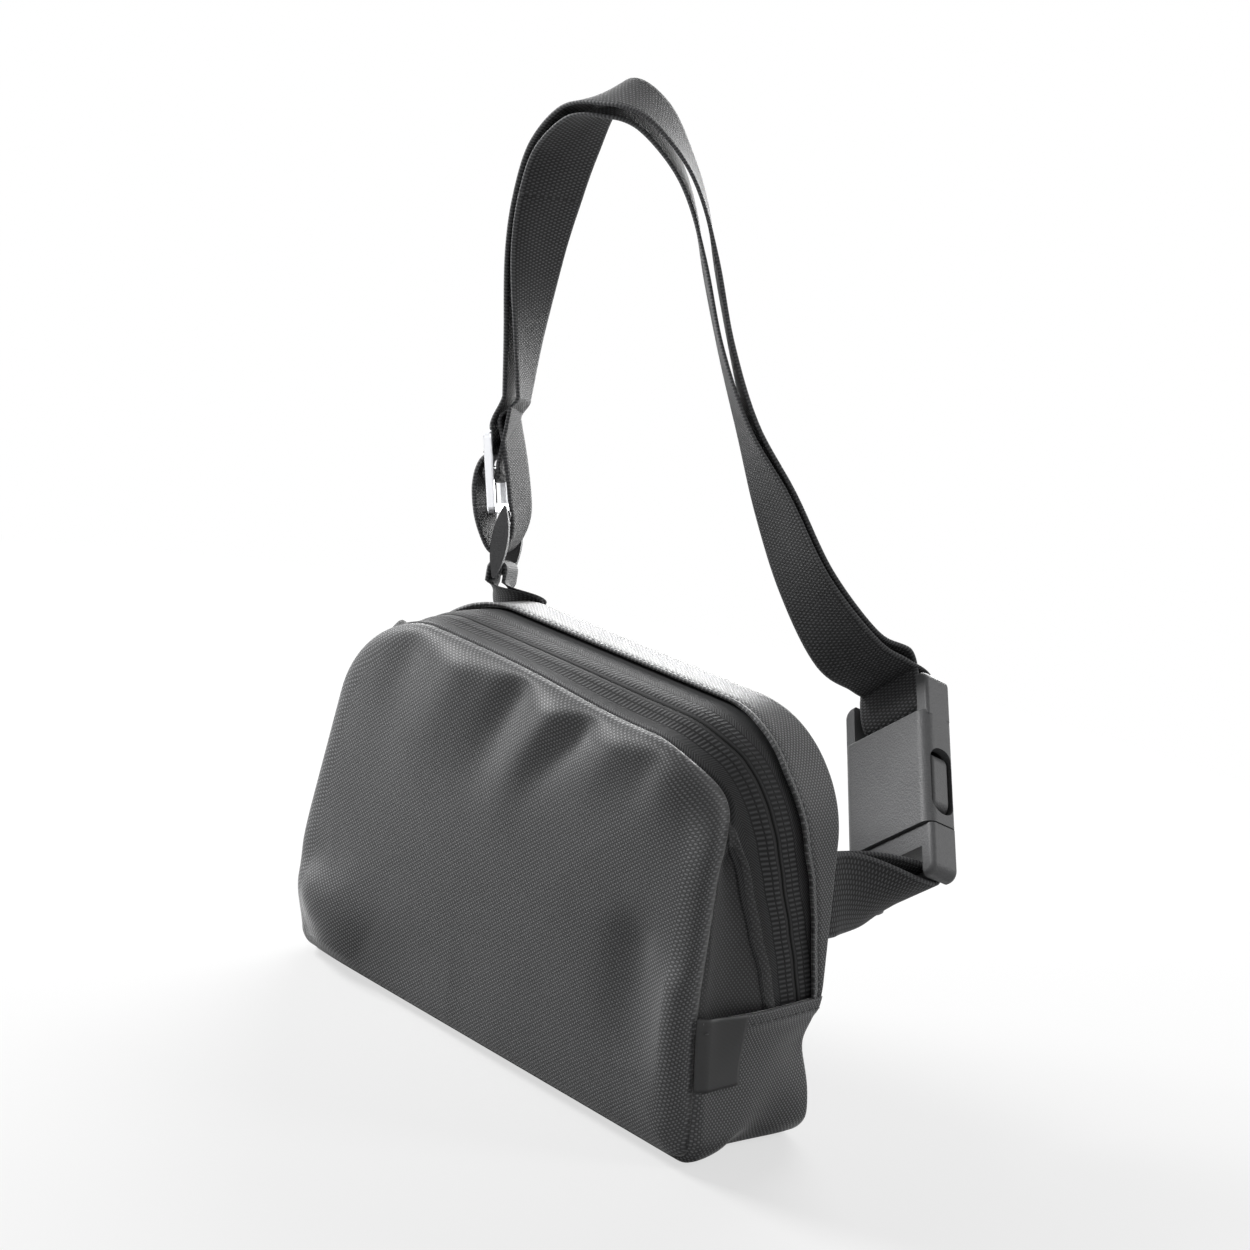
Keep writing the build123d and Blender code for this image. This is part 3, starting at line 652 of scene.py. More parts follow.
# %% Panels
FRONT_ROLL, FRONT_RISE, FRONT_CROWN = 9 * MM, 6.3 * MM, 4.2 * MM
BACK_ROLL, BACK_RISE, BACK_CROWN = 6 * MM, 3.0 * MM, 1.6 * MM
CROWN_REACH = 30 * MM
SHELL_THICK = 1.4 * MM
front_folds = [
    ((-1, 141), (-14, 100), 6.0, -4.2),
    ((20, 140), (0, 92), 6.5, 2.8),
    ((34, 139), (8, 98), 5.0, -3.0),
    ((-28, 141), (-44, 92), 9.0, 2.2),
    ((-56, 139), (-62, 100), 7.0, -1.6),
    ((48, 137), (34, 106), 6.0, 1.6),
    ((62, 135), (56, 110), 5.0, -1.4),
    ((70, 66), (78, 26), 9.0, -3.4),
    ((92, 60), (95, 18), 6.0, 2.2),
    ((-84, 26), (-58, 12), 12.0, 5.0),
    ((-98, 34), (-78, 42), 5.0, -2.4),
    ((-62, 60), (20, 30), 26.0, -1.4),
    ((-52, 14), (-10, 18), 12.0, -2.0),
]


def front_rule(u, v):
    x, z, gap, outward = front_outline.place(u, v)
    roll = min(gap / FRONT_ROLL, 1.0)
    out = FRONT_RISE * math.sqrt(max(0.0, 1 - (1 - roll) ** 2)) - TUCK
    out += FRONT_CROWN * (1 - math.exp(-gap / CROWN_REACH))
    near = smooth_step(gap, 0.5 * MM, FRONT_ROLL)
    for start, end, width_mm, deep in front_folds:
        out += deep * MM * near * dimple(x / MM, z / MM, start, end, width_mm)
    y = seam_depth(x, z) - out
    over = OVERHANG * 4 * roll * (1 - roll) * smooth_step(z, 4 * MM, 22 * MM)
    return settle(Vector((x + outward.x * over, y, z + outward.y * over * 0.4))), (x, z)


def back_rule(u, v):
    x, z, gap, _ = back_outline.place(u, v)
    roll = min(gap / BACK_ROLL, 1.0)
    out = BACK_RISE * math.sqrt(max(0.0, 1 - (1 - roll) ** 2)) - TUCK
    out += BACK_CROWN * (1 - math.exp(-gap / CROWN_REACH))
    wave = math.sin(x / (17 * MM)) * math.cos(z / (21 * MM))
    out += 0.5 * MM * wave * smooth_step(gap, 0, 12 * MM)
    return settle(Vector((x, HALF_DEPTH + out, z))), (x, z)

front = laid_sheet("front_panel_cloth", 190, 130, front_rule, shell_cloth, SHELL_THICK)
back = laid_sheet("back_panel_cloth", 120, 80, back_rule, shell_cloth, SHELL_THICK, flip=True)
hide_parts("front_panel")
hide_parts("back_panel")
for piece in (front, back):
    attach(piece, "bag")
print("panels", len(front.data.polygons), len(back.data.polygons))

# %% [markdown]
# ## Gusset, facings and zip tapes
# A band of cloth joins the two panels. Below the side seams it is one deep piece that makes the
# base. Above them it is cut along two slanting folds, and the zip is sewn in between. Each
# strip is laid on the outline between two depth lines.

# %% Fold lines of the zip
def along_line(points, z):
    """Depth at a height on a line of (height, depth) points, in millimetres."""
    z = z / MM
    if z <= points[0][0]:
        return points[0][1] * MM
    for (za, ya), (zb, yb) in zip(points, points[1:]):
        if z <= zb:
            t = (z - za) / (zb - za)
            t = t * t * (3 - 2 * t) * 0.3 + t * 0.7
            return (ya + (yb - ya) * t) * MM
    return points[-1][1] * MM

centre_points = [
    (43, 18.5), (64, 12.0), (77, 7.4), (93, 1.2), (106, -3.2),
    (115, -5.6), (124, -7.4), (131, -9.0), (137, -12.0), (143, -14.0),
]
fold_points = [
    (43, 5.0), (63, -1.8), (77, -8.0), (93, -14.0),
    (105, -18.0), (121, -21.5), (127, -22.5), (143, -24.0),
]
rear_points = [
    (43, 23.6), (49, 22.6), (77, 18.0), (92, 14.5),
    (105, 9.5), (126, 4.6), (136, 6.0), (143, 9.0),
]


def zip_middle(z):
    return along_line(centre_points, z)


def wedge_fold(z):
    return along_line(fold_points, z)


def rear_fold(z):
    return along_line(rear_points, z)


def front_seam(s):
    place, _ = rim(s)
    return seam_depth(place.x, place.y)

FAR = 1.0  # a seam that is out of reach


def groove(y, low, high):
    """The gusset dives where it runs into the front and back seams, so a valley marks each."""
    from_low = smooth_step(y - low, -0.6 * MM, 3.2 * MM)
    from_high = smooth_step(high - y, -0.6 * MM, 3.2 * MM)
    return -(INSET + 1.8 * MM) * min(1.0, 2.0 - from_low - from_high)

print("zip folds drawn through", len(centre_points), "heights")

# %% [markdown]
# ### One helper for every strip
# A strip runs along the outline from one distance to another, and across from a near line to a
# far line. Its lift is how high it lies over the outline. Zip tapes are measured across from
# the zip's middle, so that their woven rows follow it.

# %% Strips
def strip(name, s_low, s_high, columns, rows, near, far, lift, material, thickness):
    """A strip of the gusset between two depth lines; lift(s, y, z) is its height."""

    def rule(u, v):
        s = s_low + (s_high - s_low) * u
        place, _ = rim(s)
        y_low, y_high = near(s, place.y), far(s, place.y)
        y = y_low + (y_high - y_low) * v
        middle_y = zip_middle(place.y)
        flat = (s, y - middle_y) if material is zip_tape else (s, y)
        return on_band(s, y, lift(s, y, place.y)), flat

    made = laid_sheet(name, columns, rows, rule, material, thickness, flip=True)
    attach(made, "bag")
    return made


def front_hem(s, z):
    return front_seam(s) - HEM


def back_hem(s, z):
    return HALF_DEPTH + HEM

print("strip helper ready")

# %% [markdown]
# ### Base and rear facing
# The base is the deep strip below the side seams. Its upper edge has a doubled hem, so it
# stands out there as a lip. The rear facing runs from the zip's rear fold to the back seam, and
# the row of stitches behind the fold pulls it in.

# %% Base and rear facing
def base_lift(s, y, z):
    lip = 1.0 * MM * smooth_step(z, SEAM_Z - 6 * MM, SEAM_Z - 2 * MM)
    ripple = 0.5 * MM * math.sin(s / (13 * MM)) * smooth_step(z, 4 * MM, 12 * MM)
    rise = 0.4 * MM * smooth_step(z, 2 * MM, 12 * MM)
    return groove(y, front_seam(s), HALF_DEPTH) + lip + ripple + rise

base = strip("base_gusset_cloth", left_seam - RIM_LENGTH - 1.2 * MM, right_seam + 1.2 * MM,
             260, 44, front_hem, back_hem, base_lift, shell_cloth, 1.3 * MM)
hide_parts("base_gusset")


def rear_lift(s, y, z):
    lip = math.exp(-(((y - rear_fold(z)) / (1.5 * MM)) ** 2))
    row = math.exp(-(((y - rear_fold(z) - 3.0 * MM) / (0.8 * MM)) ** 2))
    return groove(y, -FAR, HALF_DEPTH) + 0.3 * MM + 0.5 * MM * lip - 0.3 * MM * row

rear = strip("rear_facing_cloth", right_seam - 2 * MM, left_seam + 2 * MM, 300, 26,
             lambda s, z: rear_fold(z), back_hem, rear_lift, shell_cloth, 1.3 * MM)
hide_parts("rear_facing")
print("base and rear facing laid")

# %% [markdown]
# ### Wedges in front of the zip
# On each side a wedge of cloth fills the space between the front seam and the zip's front
# fold. Its darker greys are partly a darker cloth and partly painted shade of its recess. It is
# hollow in the middle and has a raised folded edge. Towards the top it narrows and runs out
# into the front seam.

# %% Wedges
wedge_high = next(d for d, p, _ in rim_table if p.x > 0 and p.y > 123 * MM)
left_high = next(d for d, p, _ in rim_table if p.x < -62 * MM and p.y > 100 * MM)


def wedge_edge(s, z):
    """The wedge's folded edge, which runs out into the front seam at its top."""
    left = max(0.0, (wedge_high - s) if s < RIM_LENGTH / 2 else (s - left_high))
    seam = front_seam(s)
    return seam + max(0.0, wedge_fold(z) - seam) * smooth_step(left, 0, 26 * MM)


def wedge_lift(s, y, z):
    edge = wedge_edge(s, z)
    seam = front_seam(s)
    lip = math.exp(-(((y - edge) / (1.0 * MM)) ** 2))
    across = max(0.0, min(1.0, (y - seam) / max(edge - seam, 1 * MM)))
    hollow = 3.2 * MM * math.sin(math.pi * across) * smooth_step(edge - seam, 3 * MM, 12 * MM)
    return groove(y, seam, FAR) + 0.7 * MM * lip - 0.8 * MM - hollow

# Each wedge wears the darker greys, which paint the shade of its recess.
for name, low, high in (("right", right_seam - 2 * MM, wedge_high),
                        ("left", left_high, left_seam + 2 * MM)):
    wedge = strip("front_facing_%s_cloth" % name, low, high, 90, 14, front_hem,
                  lambda s, z: wedge_edge(s, z) + 0.3 * MM, wedge_lift, wedge_cloth_painted_shade, 1.1 * MM)
    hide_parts("front_facing_%s" % name)
print("wedges laid")

# %% [markdown]
# ### Zip tapes
# The two tapes lie below the folds and meet at the zip's middle with a hair's width between
# them. A faint ridge on each covers the coil underneath.

# %% Zip tapes
def tape_lift(s, y, z):
    away = abs(y - zip_middle(z))
    ridge = 0.25 * MM * math.exp(-(((away - 3.5 * MM) / (2.5 * MM)) ** 2))
    ahead = y - front_seam(s)
    return -1.7 * MM + ridge - 2.6 * MM * (1 - smooth_step(ahead, -0.6 * MM, 2.4 * MM))

TAPE_GAP = 0.16 * MM
tape_front = strip("zip_tape_front_cloth", right_seam - 3 * MM, left_seam + 3 * MM, 420, 30,
                   lambda s, z: max(front_seam(s) - HEM, wedge_edge(s, z) - 4 * MM),
                   lambda s, z: zip_middle(z) - TAPE_GAP, tape_lift, zip_tape, 0.8 * MM)
tape_rear = strip("zip_tape_rear_cloth", right_seam - 3 * MM, left_seam + 3 * MM, 420, 30,
                  lambda s, z: zip_middle(z) + TAPE_GAP,
                  lambda s, z: rear_fold(z) + 4 * MM, tape_lift, zip_tape, 0.8 * MM)
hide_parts("zip_tape_front")
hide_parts("zip_tape_rear")
print("zip tapes laid")

# %% [markdown]
# ## Webbing
# The belt is one length of thirty millimetre webbing. It is folded over the adjuster's bar, runs
# up and over as the outer layer, turns round the buckle's bar and comes back as the inner layer
# to the ring. Each stretch is drawn out of one rectangle with rounded edges.

# %% Frames of the belt's hardware
# Sizes of the webbing and of the bars that it goes round, in millimetres
WEB, BAR_GAP = 1.4, 0.35
GLIDE_THICK, GLIDE_TALL, GLIDE_BAR = 3.0, 31.0, 3.6
BUCKLE_BAR, BUCKLE_BAR_AT = 5.0, 75.5
RING_TALL, RING_BAR_AT, RING_BAR = 29.0, 4.3, 4.2
ANCHOR_BAR = 4.4
WIDTH, THICK = 30 * MM, WEB * MM


class Place:
    """A local frame: X across the webbing, Z along it."""

    def __init__(self, origin, across, along):
        self.origin = Vector(origin) * MM
        self.z = Vector(along).normalized()
        across = Vector(across)
        self.x = (across - self.z * across.dot(self.z)).normalized()
        self.y = self.z.cross(self.x)

    def facing_out(self):
        if self.y.x > 0:
            self.x, self.y = -self.x, -self.y
        return self

    def at(self, x, y, z):
        return self.origin + self.x * x + self.y * y + self.z * z

buckle = Place((98.9, 68.5, 83.5), (0.763, -0.038, 0.645), (-0.564, 0.448, 0.694))
glide = Place((-94.8, 30.6, 183.0), (-0.58, 0.80, -0.17), (-0.30, -0.02, 0.95)).facing_out()
ring = Place((-83.2, 31.0, 158.5), (-0.56, 0.80, -0.21), (-0.16, 0.14, 0.97)).facing_out()

belt_route = [
    ((-93.9, 33.5, 212.4), (-0.57, 0.81, -0.14), 5.2),
    ((-97.5, 35.0, 236.2), (-0.38, 0.91, -0.10), 3.8),
    ((-100.2, 36.0, 266.0), (-0.06, 1.00, -0.01), 3.0),
    ((-98.3, 35.5, 287.9), (0.12, 0.99, 0.00), 3.2),
    ((-94.6, 35.5, 305.6), (0.11, 0.99, -0.03), 3.8),
    ((-85.6, 35.0, 321.0), (-0.18, 0.98, 0.06), 4.4),
    ((-73.2, 38.0, 328.4), (-0.42, 0.84, 0.33), 4.8),
    ((-62.2, 44.5, 324.4), (-0.43, 0.88, 0.16), 5.0),
    ((-51.0, 51.0, 311.4), (-0.50, 0.86, -0.08), 4.8),
    ((-41.5, 54.5, 296.8), (-0.56, 0.81, -0.19), 4.6),
    ((-31.3, 56.5, 275.4), (-0.62, 0.75, -0.23), 4.4),
    ((-18.4, 58.5, 248.2), (-0.61, 0.75, -0.25), 4.0),
    ((-3.7, 61.5, 222.0), (-0.67, 0.68, -0.29), 3.2),
    ((11.3, 66.5, 198.9), (-0.80, 0.43, -0.41), 2.8),
    ((26.8, 73.5, 173.7), (-0.86, 0.24, -0.45), 2.8),
    ((42.0, 85.5, 152.5), (-0.80, 0.00, -0.60), 3.2),
    ((49.6, 98.5, 146.0), (-0.77, 0.03, -0.64), 5.4),
]
print("belt route:", len(belt_route), "stations")

# %% [markdown]
# ### Stations of the webbing
# A station is a point on the webbing's middle, the direction across it and the direction out of
# its face. Smooth curves run through a few chosen stations. The belt's two layers keep to
# either side of one route, and short curves carry them on into the turns round the hardware.

# %% Stations of the webbing
def smooth_values(values, steps):
    """Values on a smooth curve through a list of vectors."""
    ends = [values[0] * 2 - values[1]] + values + [values[-1] * 2 - values[-2]]
    out = []
    for i in range(len(values) - 1):
        a, b, c, d = ends[i:i + 4]
        for k in range(steps):
            t = k / steps
            out.append((b * 2 + (c - a) * t + (a * 2 - b * 5 + c * 4 - d) * t**2
                        + (b * 3 - a - c * 3 + d) * t**3) * 0.5)
    return out + [values[-1]]


def layer(side, first, last, steps=10):
    """Stations of one layer of the belt: centre, width direction, normal."""
    centres = smooth_values([Vector(c) * MM for c, _, _ in belt_route], steps)
    acrosses = smooth_values([Vector(w) for _, w, _ in belt_route], steps)
    pitches = smooth_values([Vector((p * MM, 0, 0)) for _, _, p in belt_route], steps)
    out = []
    for i in range(first * steps, last * steps + 1):
        ahead = (centres[min(i + 1, len(centres) - 1)] - centres[max(i - 1, 0)]).normalized()
        across = (acrosses[i] - ahead * acrosses[i].dot(ahead)).normalized()
        normal = ahead.cross(across).normalized()
        out.append((centres[i] + normal * (side * pitches[i].x / 2), across, normal))
    return out


def local_stations(frame_at, path, steps=6):
    """Stations from local (y, z) points in millimetres, smoothed."""
    flat = smooth_values([Vector((0, y * MM, z * MM)) for y, z in path], steps)
    points = [frame_at.at(0, p.y, p.z) for p in flat]
    out = []
    for i, point in enumerate(points):
        ahead = points[min(i + 1, len(points) - 1)] - points[max(i - 1, 0)]
        out.append((point, frame_at.x, ahead.cross(frame_at.x).normalized()))
    return out


def arc(radius, y, z, start, end, steps=8):
    turns = [math.radians(start + (end - start) * k / steps) for k in range(steps + 1)]
    return [(y + radius * math.cos(t), z + radius * math.sin(t)) for t in turns]


def joined(stations, turn, steps=12):
    """Carries a stretch on from its last station to the first one of a turn."""
    first, last = stations[-1], turn[0]
    across = -last[1] if last[1].dot(first[1]) < 0 else last[1]
    normal = -last[2] if last[2].dot(first[2]) < 0 else last[2]
    ahead = (first[0] - stations[-2][0]).normalized()
    onward = (turn[1][0] - turn[0][0]).normalized()
    lead = (last[0] - first[0]).length / 3
    a, d = first[0], last[0]
    b, c = a + ahead * lead, d - onward * lead
    out = []
    for k in range(1, steps):
        t = k / steps
        e = 1 - t
        point = a * e**3 + b * (3 * t * e**2) + c * (3 * t**2 * e) + d * t**3
        out.append((point, (first[1] * e + across * t), (first[2] * e + normal * t)))
    return stations + out + [(d, across, normal)]


def follow(stations, more):
    """Adds stations, turned so that they agree with the last one."""
    out = list(stations)
    for point, across, normal in more:
        if across.dot(out[-1][1]) < 0:
            across = -across
        if normal.dot(out[-1][2]) < 0:
            normal = -normal
        out.append((point, across, normal))
    return out

print("station helpers ready")

# %% [markdown]
# ### Drawing the webbing
# The section is a rectangle with rounded edges. One ring of vertices is made at each station,
# neighbouring rings are bridged, and both ends are filled. The UV map counts the length along
# the belt, so that the ribs keep their size whatever the turn.

# %% Drawing the webbing
def webbing_piece(name, stations, body, start=0.0):
    """Draws a rounded rectangle along the stations; its UV map runs along and across."""
    half, edge = WIDTH / 2, THICK / 2
    inner = half - edge * 0.8
    section = [(-inner + 2 * inner * k / 14, edge) for k in range(15)]
    section += [(half - edge * 0.25, edge * 0.6), (half, 0.0), (half - edge * 0.25, -edge * 0.6)]
    section += [(inner - 2 * inner * k / 14, -edge) for k in range(15)]
    section += [(-half + edge * 0.25, -edge * 0.6), (-half, 0.0), (-half + edge * 0.25, edge * 0.6)]
    work = bmesh.new()
    cloth = {}
    rings = []
    length = start
    for i, (centre, across, normal) in enumerate(stations):
        across = across.normalized()
        normal = (normal - across * normal.dot(across)).normalized()
        if i:
            length += (centre - stations[i - 1][0]).length
        ring_here = []
        for x, y in section:
            vert = work.verts.new(centre + across * x + normal * y)
            cloth[vert] = (length, x)
            ring_here.append(vert)
        edges = [work.edges.new((ring_here[k - 1], ring_here[k])) for k in range(len(ring_here))]
        rings.append(edges)
    for low, high in zip(rings, rings[1:]):
        bmesh.ops.bridge_loops(work, edges=low + high)
    for edges in (rings[0], rings[-1]):
        bmesh.ops.edgeloop_fill(work, edges=edges)
    bmesh.ops.recalc_face_normals(work, faces=work.faces)
    layer_uv = work.loops.layers.uv.new("cloth")
    for face in work.faces:
        face.smooth = len(face.verts) == 4
        for corner in face.loops:
            corner[layer_uv].uv = cloth[corner.vert]
    mesh = bpy.data.meshes.new(name)
    work.to_mesh(mesh)
    work.free()
    made = add_object(name, mesh, webbing)
    if body:
        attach(made, body)
    return made, length

print("webbing helper ready")

# %% [markdown]
# ### Paths round the hardware
# Each path is drawn in the frame of its own piece of hardware, as points out of its face and
# along it, in millimetres. Webbing never lies tight all round, so the loop at the adjuster
# leans a little and the turn at the buckle has some slack.

# %% Paths round the hardware
inner_side = -(GLIDE_THICK / 2 + WEB / 2 + BAR_GAP)
upper_slot = (GLIDE_TALL / 2 - GLIDE_BAR + GLIDE_BAR / 2) / 2
loop_path = [
    (inner_side - 0.6, 17.5), (inner_side - 0.3, 11.3), (0.0, upper_slot + 0.6), (3.0, 5.0),
    (4.4, 1.5), (4.8, -3.0), (5.0, -7.5), (5.0, -12.0),
]
ring_path = [
    (-6.2, 19.0), (-7.4, 8.0), (-8.1, -1.6), (-8.4, -10.0), (-8.4, -17.0), (-7.2, -22.5),
    (-4.6, -27.2), (-1.4, -29.8), (1.4, -29.6), (3.4, -26.8),
    (4.6, -21.5), (5.0, -16.5), (5.0, -12.0),
]
LEANING = Vector((-0.47, 0.87, -0.12))


def slackened(stations):
    """Turns the slack webbing beside the adjuster a few degrees about its length."""
    out = []
    for point, across, normal in stations:
        height = (point - glide.origin).dot(glide.z)
        outer = (point - glide.origin).dot(glide.y) > 0
        free = smooth_step(height, -30 * MM, -10 * MM)
        if outer:
            free *= 1 - smooth_step(height, -6 * MM, 8 * MM)
        turned = across.lerp(LEANING, free)
        out.append((point, turned.normalized(), normal))
    return out

loop = slackened(local_stations(glide, loop_path))
ring_turn = slackened(local_stations(glide, ring_path))
turn_radius = BUCKLE_BAR / 2 + BAR_GAP + WEB / 2
SLACK, LEAD = 5.5, 4.0
tight = arc(turn_radius, 0, BUCKLE_BAR_AT, 180, 360, 10)
slack_arc = [(y, z - SLACK * math.sin(math.pi * k / 10)) for k, (y, z) in enumerate(tight)]
lead_at = BUCKLE_BAR_AT + LEAD
buckle_path = [(-turn_radius, lead_at)] + slack_arc + [(turn_radius, lead_at)]
buckle_turn = local_stations(buckle, buckle_path, 3)
print("turns:", len(loop), len(ring_turn), len(buckle_turn), "stations")

# %% [markdown]
# ### The belt's stretches
# One long belt is cut where the hardware moves, because a piece can be blended between two
# bodies only. Each cut lies where both stretches move alike, so it stays shut at every pose.

# %% Stretches at the adjuster
outer_start = joined(layer(1, 0, 3)[::-1], loop)
glide_end, length = webbing_piece("belt_outer_start", outer_start[::-1], None)
layer(1, 1, 1)[0][0]
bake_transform(glide_end)
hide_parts("strap_outer_start")
loop_piece, _ = webbing_piece("belt_adjuster_loop", loop, None)
glide.at(0, 0, -12 * MM)
glide.at(0, 0, 4 * MM)
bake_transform(loop_piece)
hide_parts("strap_glide_wrap")
tail_path = local_stations(glide, [
    (1.6, 2.6), (2.5, 0.0), (1.4, -2.7), (-0.9, -2.9),
    (inner_side, -1.0), (inner_side - 0.3, 3.0), (inner_side - 2.0, 9.0),
])
tail = joined(tail_path, layer(0, 0, 1))[:-2]
tail_piece, _ = webbing_piece("belt_tail", tail, "tri_glide")
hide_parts("strap_tail")
print("stretches at the adjuster drawn")

# %% Main run and ring end
outer_run = joined(layer(1, 3, 16), buckle_turn)
main_run = follow(outer_run, buckle_turn[1:])
inner_run = joined(layer(-1, 3, 16), buckle_turn[::-1])
main_run = follow(main_run, inner_run[::-1][1:])
main_piece, _ = webbing_piece("belt_main", main_run, None, start=length)
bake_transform(main_piece)
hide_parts("strap_outer", "strap_inner", "strap_outer_end", "strap_inner_end",
            "strap_buckle_turn")
inner_start = follow(joined(layer(-1, 0, 3)[::-1], ring_turn), ring_turn[1:])
ring_piece, _ = webbing_piece("belt_ring_end", inner_start, None)
glide.at(0, 0, -12 * MM)
glide.at(0, 0, -21 * MM)
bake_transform(ring_piece)
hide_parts("strap_inner_start", "strap_ring_turn")
print("main run and ring end drawn")

# %% [markdown]
# ### Tab at the ring and anchor at the buckle
# Two short pieces of webbing tie the belt's hardware to the bag. Each goes round a bar and has
# both ends sewn into the back seam. The tab sits at the left top corner, the anchor on the
# right side.

# %% Tab at the ring
SEWN = 0.82 * MM
angle = math.radians(128.0)
corner = Vector((-47 + 42 * math.cos(angle), 33.2, 98 + 42 * math.sin(angle))) * MM
along_seam = Vector((math.sin(angle), 0, -math.cos(angle)))
low_bar = -RING_TALL / 2 + RING_BAR_AT
tab_radius = RING_BAR / 2 + BAR_GAP + WEB / 2
tab_lead = low_bar - 4.6
tab_path = [(tab_radius, tab_lead)] + arc(tab_radius, 0, low_bar, 0, 180)
tab_turn = local_stations(ring, tab_path + [(-tab_radius, tab_lead)], 3)
rise = Vector((0, 0.4, 1)).normalized() * 1.5 * MM
y_axis = Vector((0, 1, 0))
halves = []
for side in (-1, 1):
    foot = corner + y_axis * side * SEWN
    halves.append([(foot + rise * k, along_seam, y_axis) for k in (-1, 0, 1)])
tab_run = follow(joined(halves[0], tab_turn), tab_turn[1:])
tab_run = follow(tab_run, joined(halves[1], tab_turn[::-1])[::-1][1:])
tab_piece, _ = webbing_piece("ring_tab_webbing", tab_run, "bag")
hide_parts("ring_tab")
print("ring tab made")

# %% Anchor at the buckle
slope = 18.0 / 140.0
seam_out = Vector((1, 0, slope)).normalized()
seam_tilt = Vector((-slope, 0, 1)).normalized()
seam = Vector((107 - 84.5 * slope - 1.0, 31.8, 84.5)) * MM
out = y_axis.cross(buckle.x).normalized()
forward = -buckle.x.cross(out)
if forward.y < 0:
    forward = -forward
anchor_radius = (ANCHOR_BAR / 2 + BAR_GAP + WEB / 2) * MM
anchor_turn = []
for k in range(17):
    spoke = out * math.cos(math.pi * k / 16) + forward * math.sin(math.pi * k / 16)
    anchor_turn.append((buckle.origin + spoke * anchor_radius, buckle.x, spoke))
halves = []
for side in (1, -1):
    foot = seam + seam_out * side * SEWN
    halves.append([(foot + y_axis * d * MM, seam_tilt, seam_out) for d in (-2, 0, 3)])
anchor_run = follow(joined(halves[0], anchor_turn), anchor_turn[1:])
anchor_run = follow(anchor_run, joined(halves[1], anchor_turn[::-1])[::-1][1:])
anchor_piece, _ = webbing_piece("anchor_webbing_piece", anchor_run, "bag")
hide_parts("anchor_webbing")
print("anchor made")

# %% [markdown]
# ## Stitching and label
# Rows of lockstitch hold the folds and the base seam. Each stitch is a small spindle of thread
# lying in the cloth, a couple of millimetres long. The label is a blank ribbon caught in the
# front seam.

# %% Stitch rows
def stitch_row(name, points, length=2.0 * MM, gap=0.75 * MM, radius=0.24 * MM):
    """Spindles of thread along a line of points."""
    work = bmesh.new()
    walked, at = 0.0, 0.0
    spots = []
    for a, b in zip(points, points[1:]):
        run = (b - a).length
        while at < walked + run:
            t = (at - walked) / max(run, 1e-9)
            spots.append((a.lerp(b, t), (b - a).normalized()))
            at += length + gap
        walked += run
    for spot, ahead in spots:
        turn = ahead.to_track_quat("Z", "Y").to_matrix().to_4x4()
        stretch = Matrix.Diagonal((radius, radius, length / 2, 1.0))
        matrix = Matrix.Translation(spot) @ turn @ stretch
        bmesh.ops.create_uvsphere(work, u_segments=6, v_segments=4, radius=1.0, matrix=matrix)
    for face in work.faces:
        face.smooth = True
    mesh = bpy.data.meshes.new(name)
    work.to_mesh(mesh)
    work.free()
    made = add_object(name, mesh, thread)
    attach(made, "bag")
    print(name, len(spots), "stitches")


def along_rim(s_low, s_high, depth_at, lift_at, step=2.0 * MM):
    """Points on the gusset at a depth that depends on the height."""
    out = []
    pieces = max(2, int((s_high - s_low) / step))
    for k in range(pieces + 1):
        s = s_low + (s_high - s_low) * k / pieces
        place, _ = rim(s)
        y = depth_at(place.y)
        out.append(on_band(s, y, lift_at(s, y, place.y)))
    return out

PROUD, BASE_PROUD = 0.08 * MM, 0.12 * MM
BEHIND_FOLD, AHEAD_OF_FOLD, BELOW_SEAM = 3.0 * MM, 2.6 * MM, 2.6 * MM
RUN_OUT, ROW_END = 26 * MM, 28 * MM

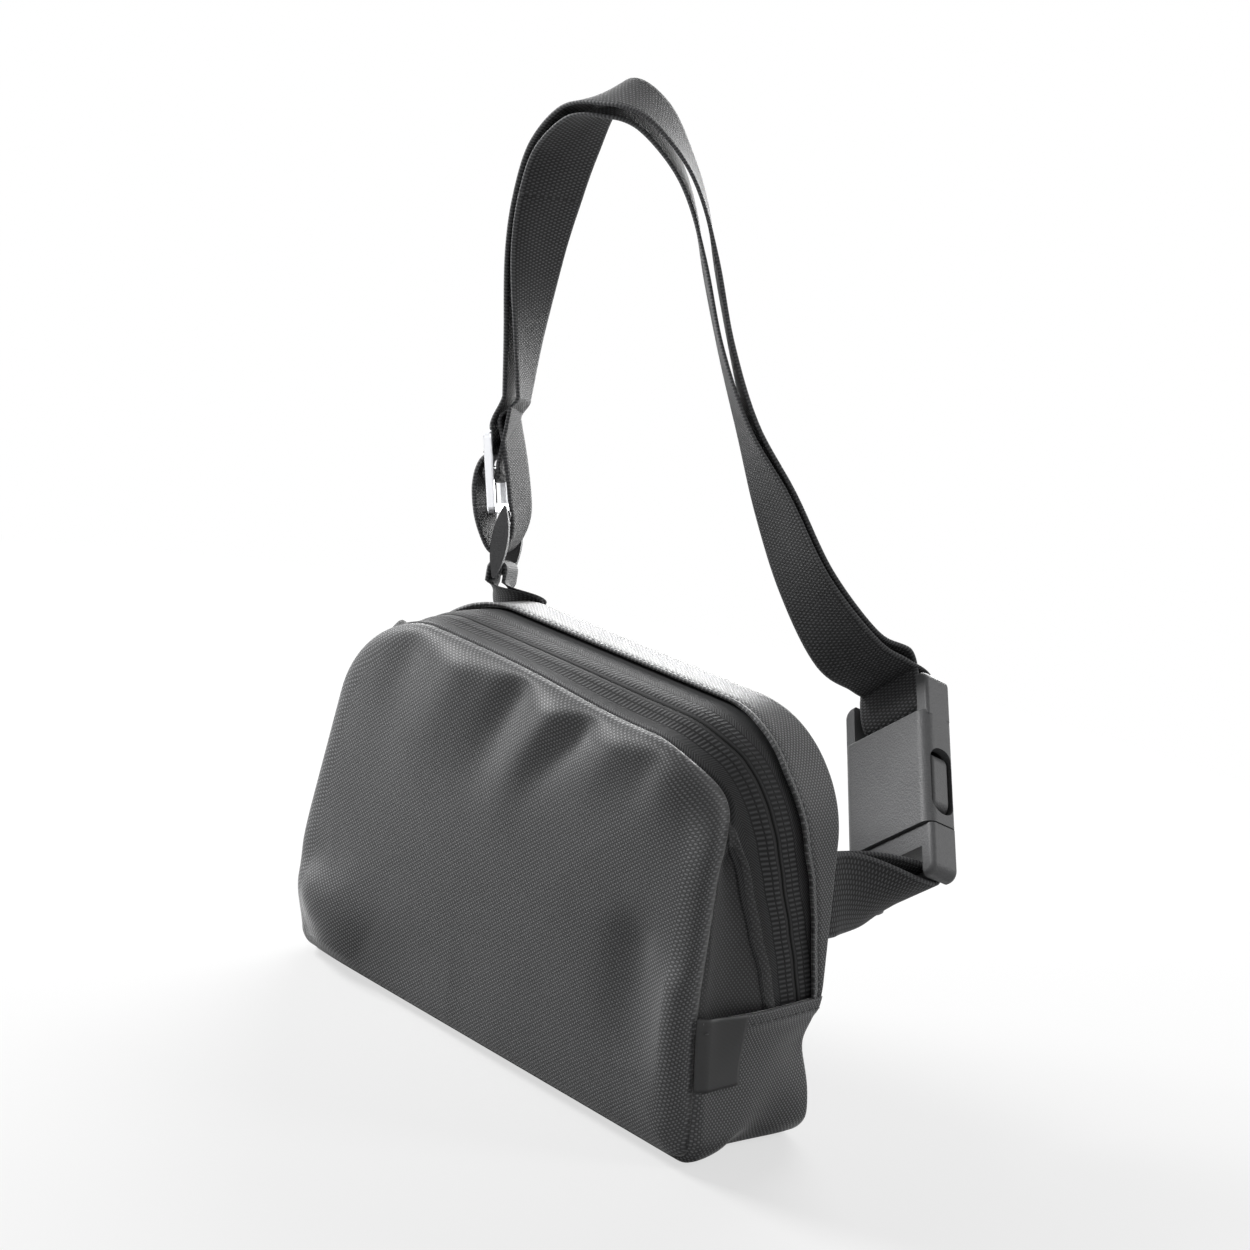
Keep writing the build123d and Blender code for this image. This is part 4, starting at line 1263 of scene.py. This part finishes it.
rear_row = along_rim(right_seam, left_seam, lambda z: rear_fold(z) + BEHIND_FOLD,
                     lambda s, y, z: rear_lift(s, y, z) + PROUD)
stitch_row("rear_fold_stitches", rear_row)
for name, low, high in (("right", right_seam, wedge_high - RUN_OUT),
                        ("left", left_high + RUN_OUT, left_seam)):
    wedge_row = along_rim(low, high, lambda z: wedge_fold(z) - AHEAD_OF_FOLD,
                          lambda s, y, z: wedge_lift(s, y, z) + PROUD)
    stitch_row("wedge_stitches_" + name, wedge_row)
for name, s_row in (("right", right_seam - BELOW_SEAM),
                    ("left", left_seam - RIM_LENGTH + BELOW_SEAM)):
    y_low = front_seam(s_row) + 3 * MM
    row = []
    for k in range(25):
        y = y_low + (ROW_END - y_low) * k / 24
        row.append(on_band(s_row, y, base_lift(s_row, y, SEAM_Z) + BASE_PROUD))
    stitch_row("base_seam_stitches_" + name, row, length=2.6 * MM, gap=1.1 * MM, radius=0.3 * MM)

# %% [markdown]
# ### Label
# A folded ribbon of dark satin is caught in the front seam, low on the right side. It carries
# no print. It starts down in the seam, comes up over the cloth and curls away from it a little.

# %% Label
label_s = next(d for d, p, _ in rim_table if p.x > 0 and p.y > 27 * MM)


def label_rule(u, v):
    """Folded ribbon: u runs down its length, v from the seam to the fold."""
    z = (52 - 25 * u) * MM
    s = label_s + (z - 27 * MM) * 1.008
    out_of_seam = -1.2 * MM + 2.4 * MM * smooth_step(v * 19, 0, 3.5)
    loose = 2.0 * MM * math.sin(math.pi * v * 0.5) ** 2 * (0.6 + 0.4 * math.cos(3 * u))
    curl = out_of_seam + loose
    y = front_seam(s) + 0.2 * MM + v * 19.3 * MM
    return on_band(s, y, curl), (u * 25 * MM, v * 20 * MM)

label = laid_sheet("side_label", 20, 16, label_rule, label_satin, 0.5 * MM)
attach(label, "bag")
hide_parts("label")
print("label made")

# %% [markdown]
# ## Hard pieces take their finishes
# The buckle, the ring, the adjuster and the zip's coils, slider and pull keep the exact meshes
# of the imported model. Only their materials are exchanged, one finish for each kind of piece.

# %% Hard pieces take their finishes
finishes = {
    "moulded_plastic": [
        "buckle_female", "buckle_male", "buckle_prong_left", "buckle_prong_right", "loop_ring",
    ],
    "adjuster_metal": ["tri_glide"],
    "zip_metal": ["zip_slider", "zip_pull"],
    "zip_coil": ["zip_coil_front", "zip_coil_rear"],
}
for slot, names in finishes.items():
    for name in names:
        mesh = nodes[name].data
        mesh.materials.clear()
        mesh.materials.append(finish_of[slot])
print("hard pieces finished:", sum(len(names) for names in finishes.values()))

# %% [markdown]
# ## Sizes

# %% Sizes
print("no sizes written")
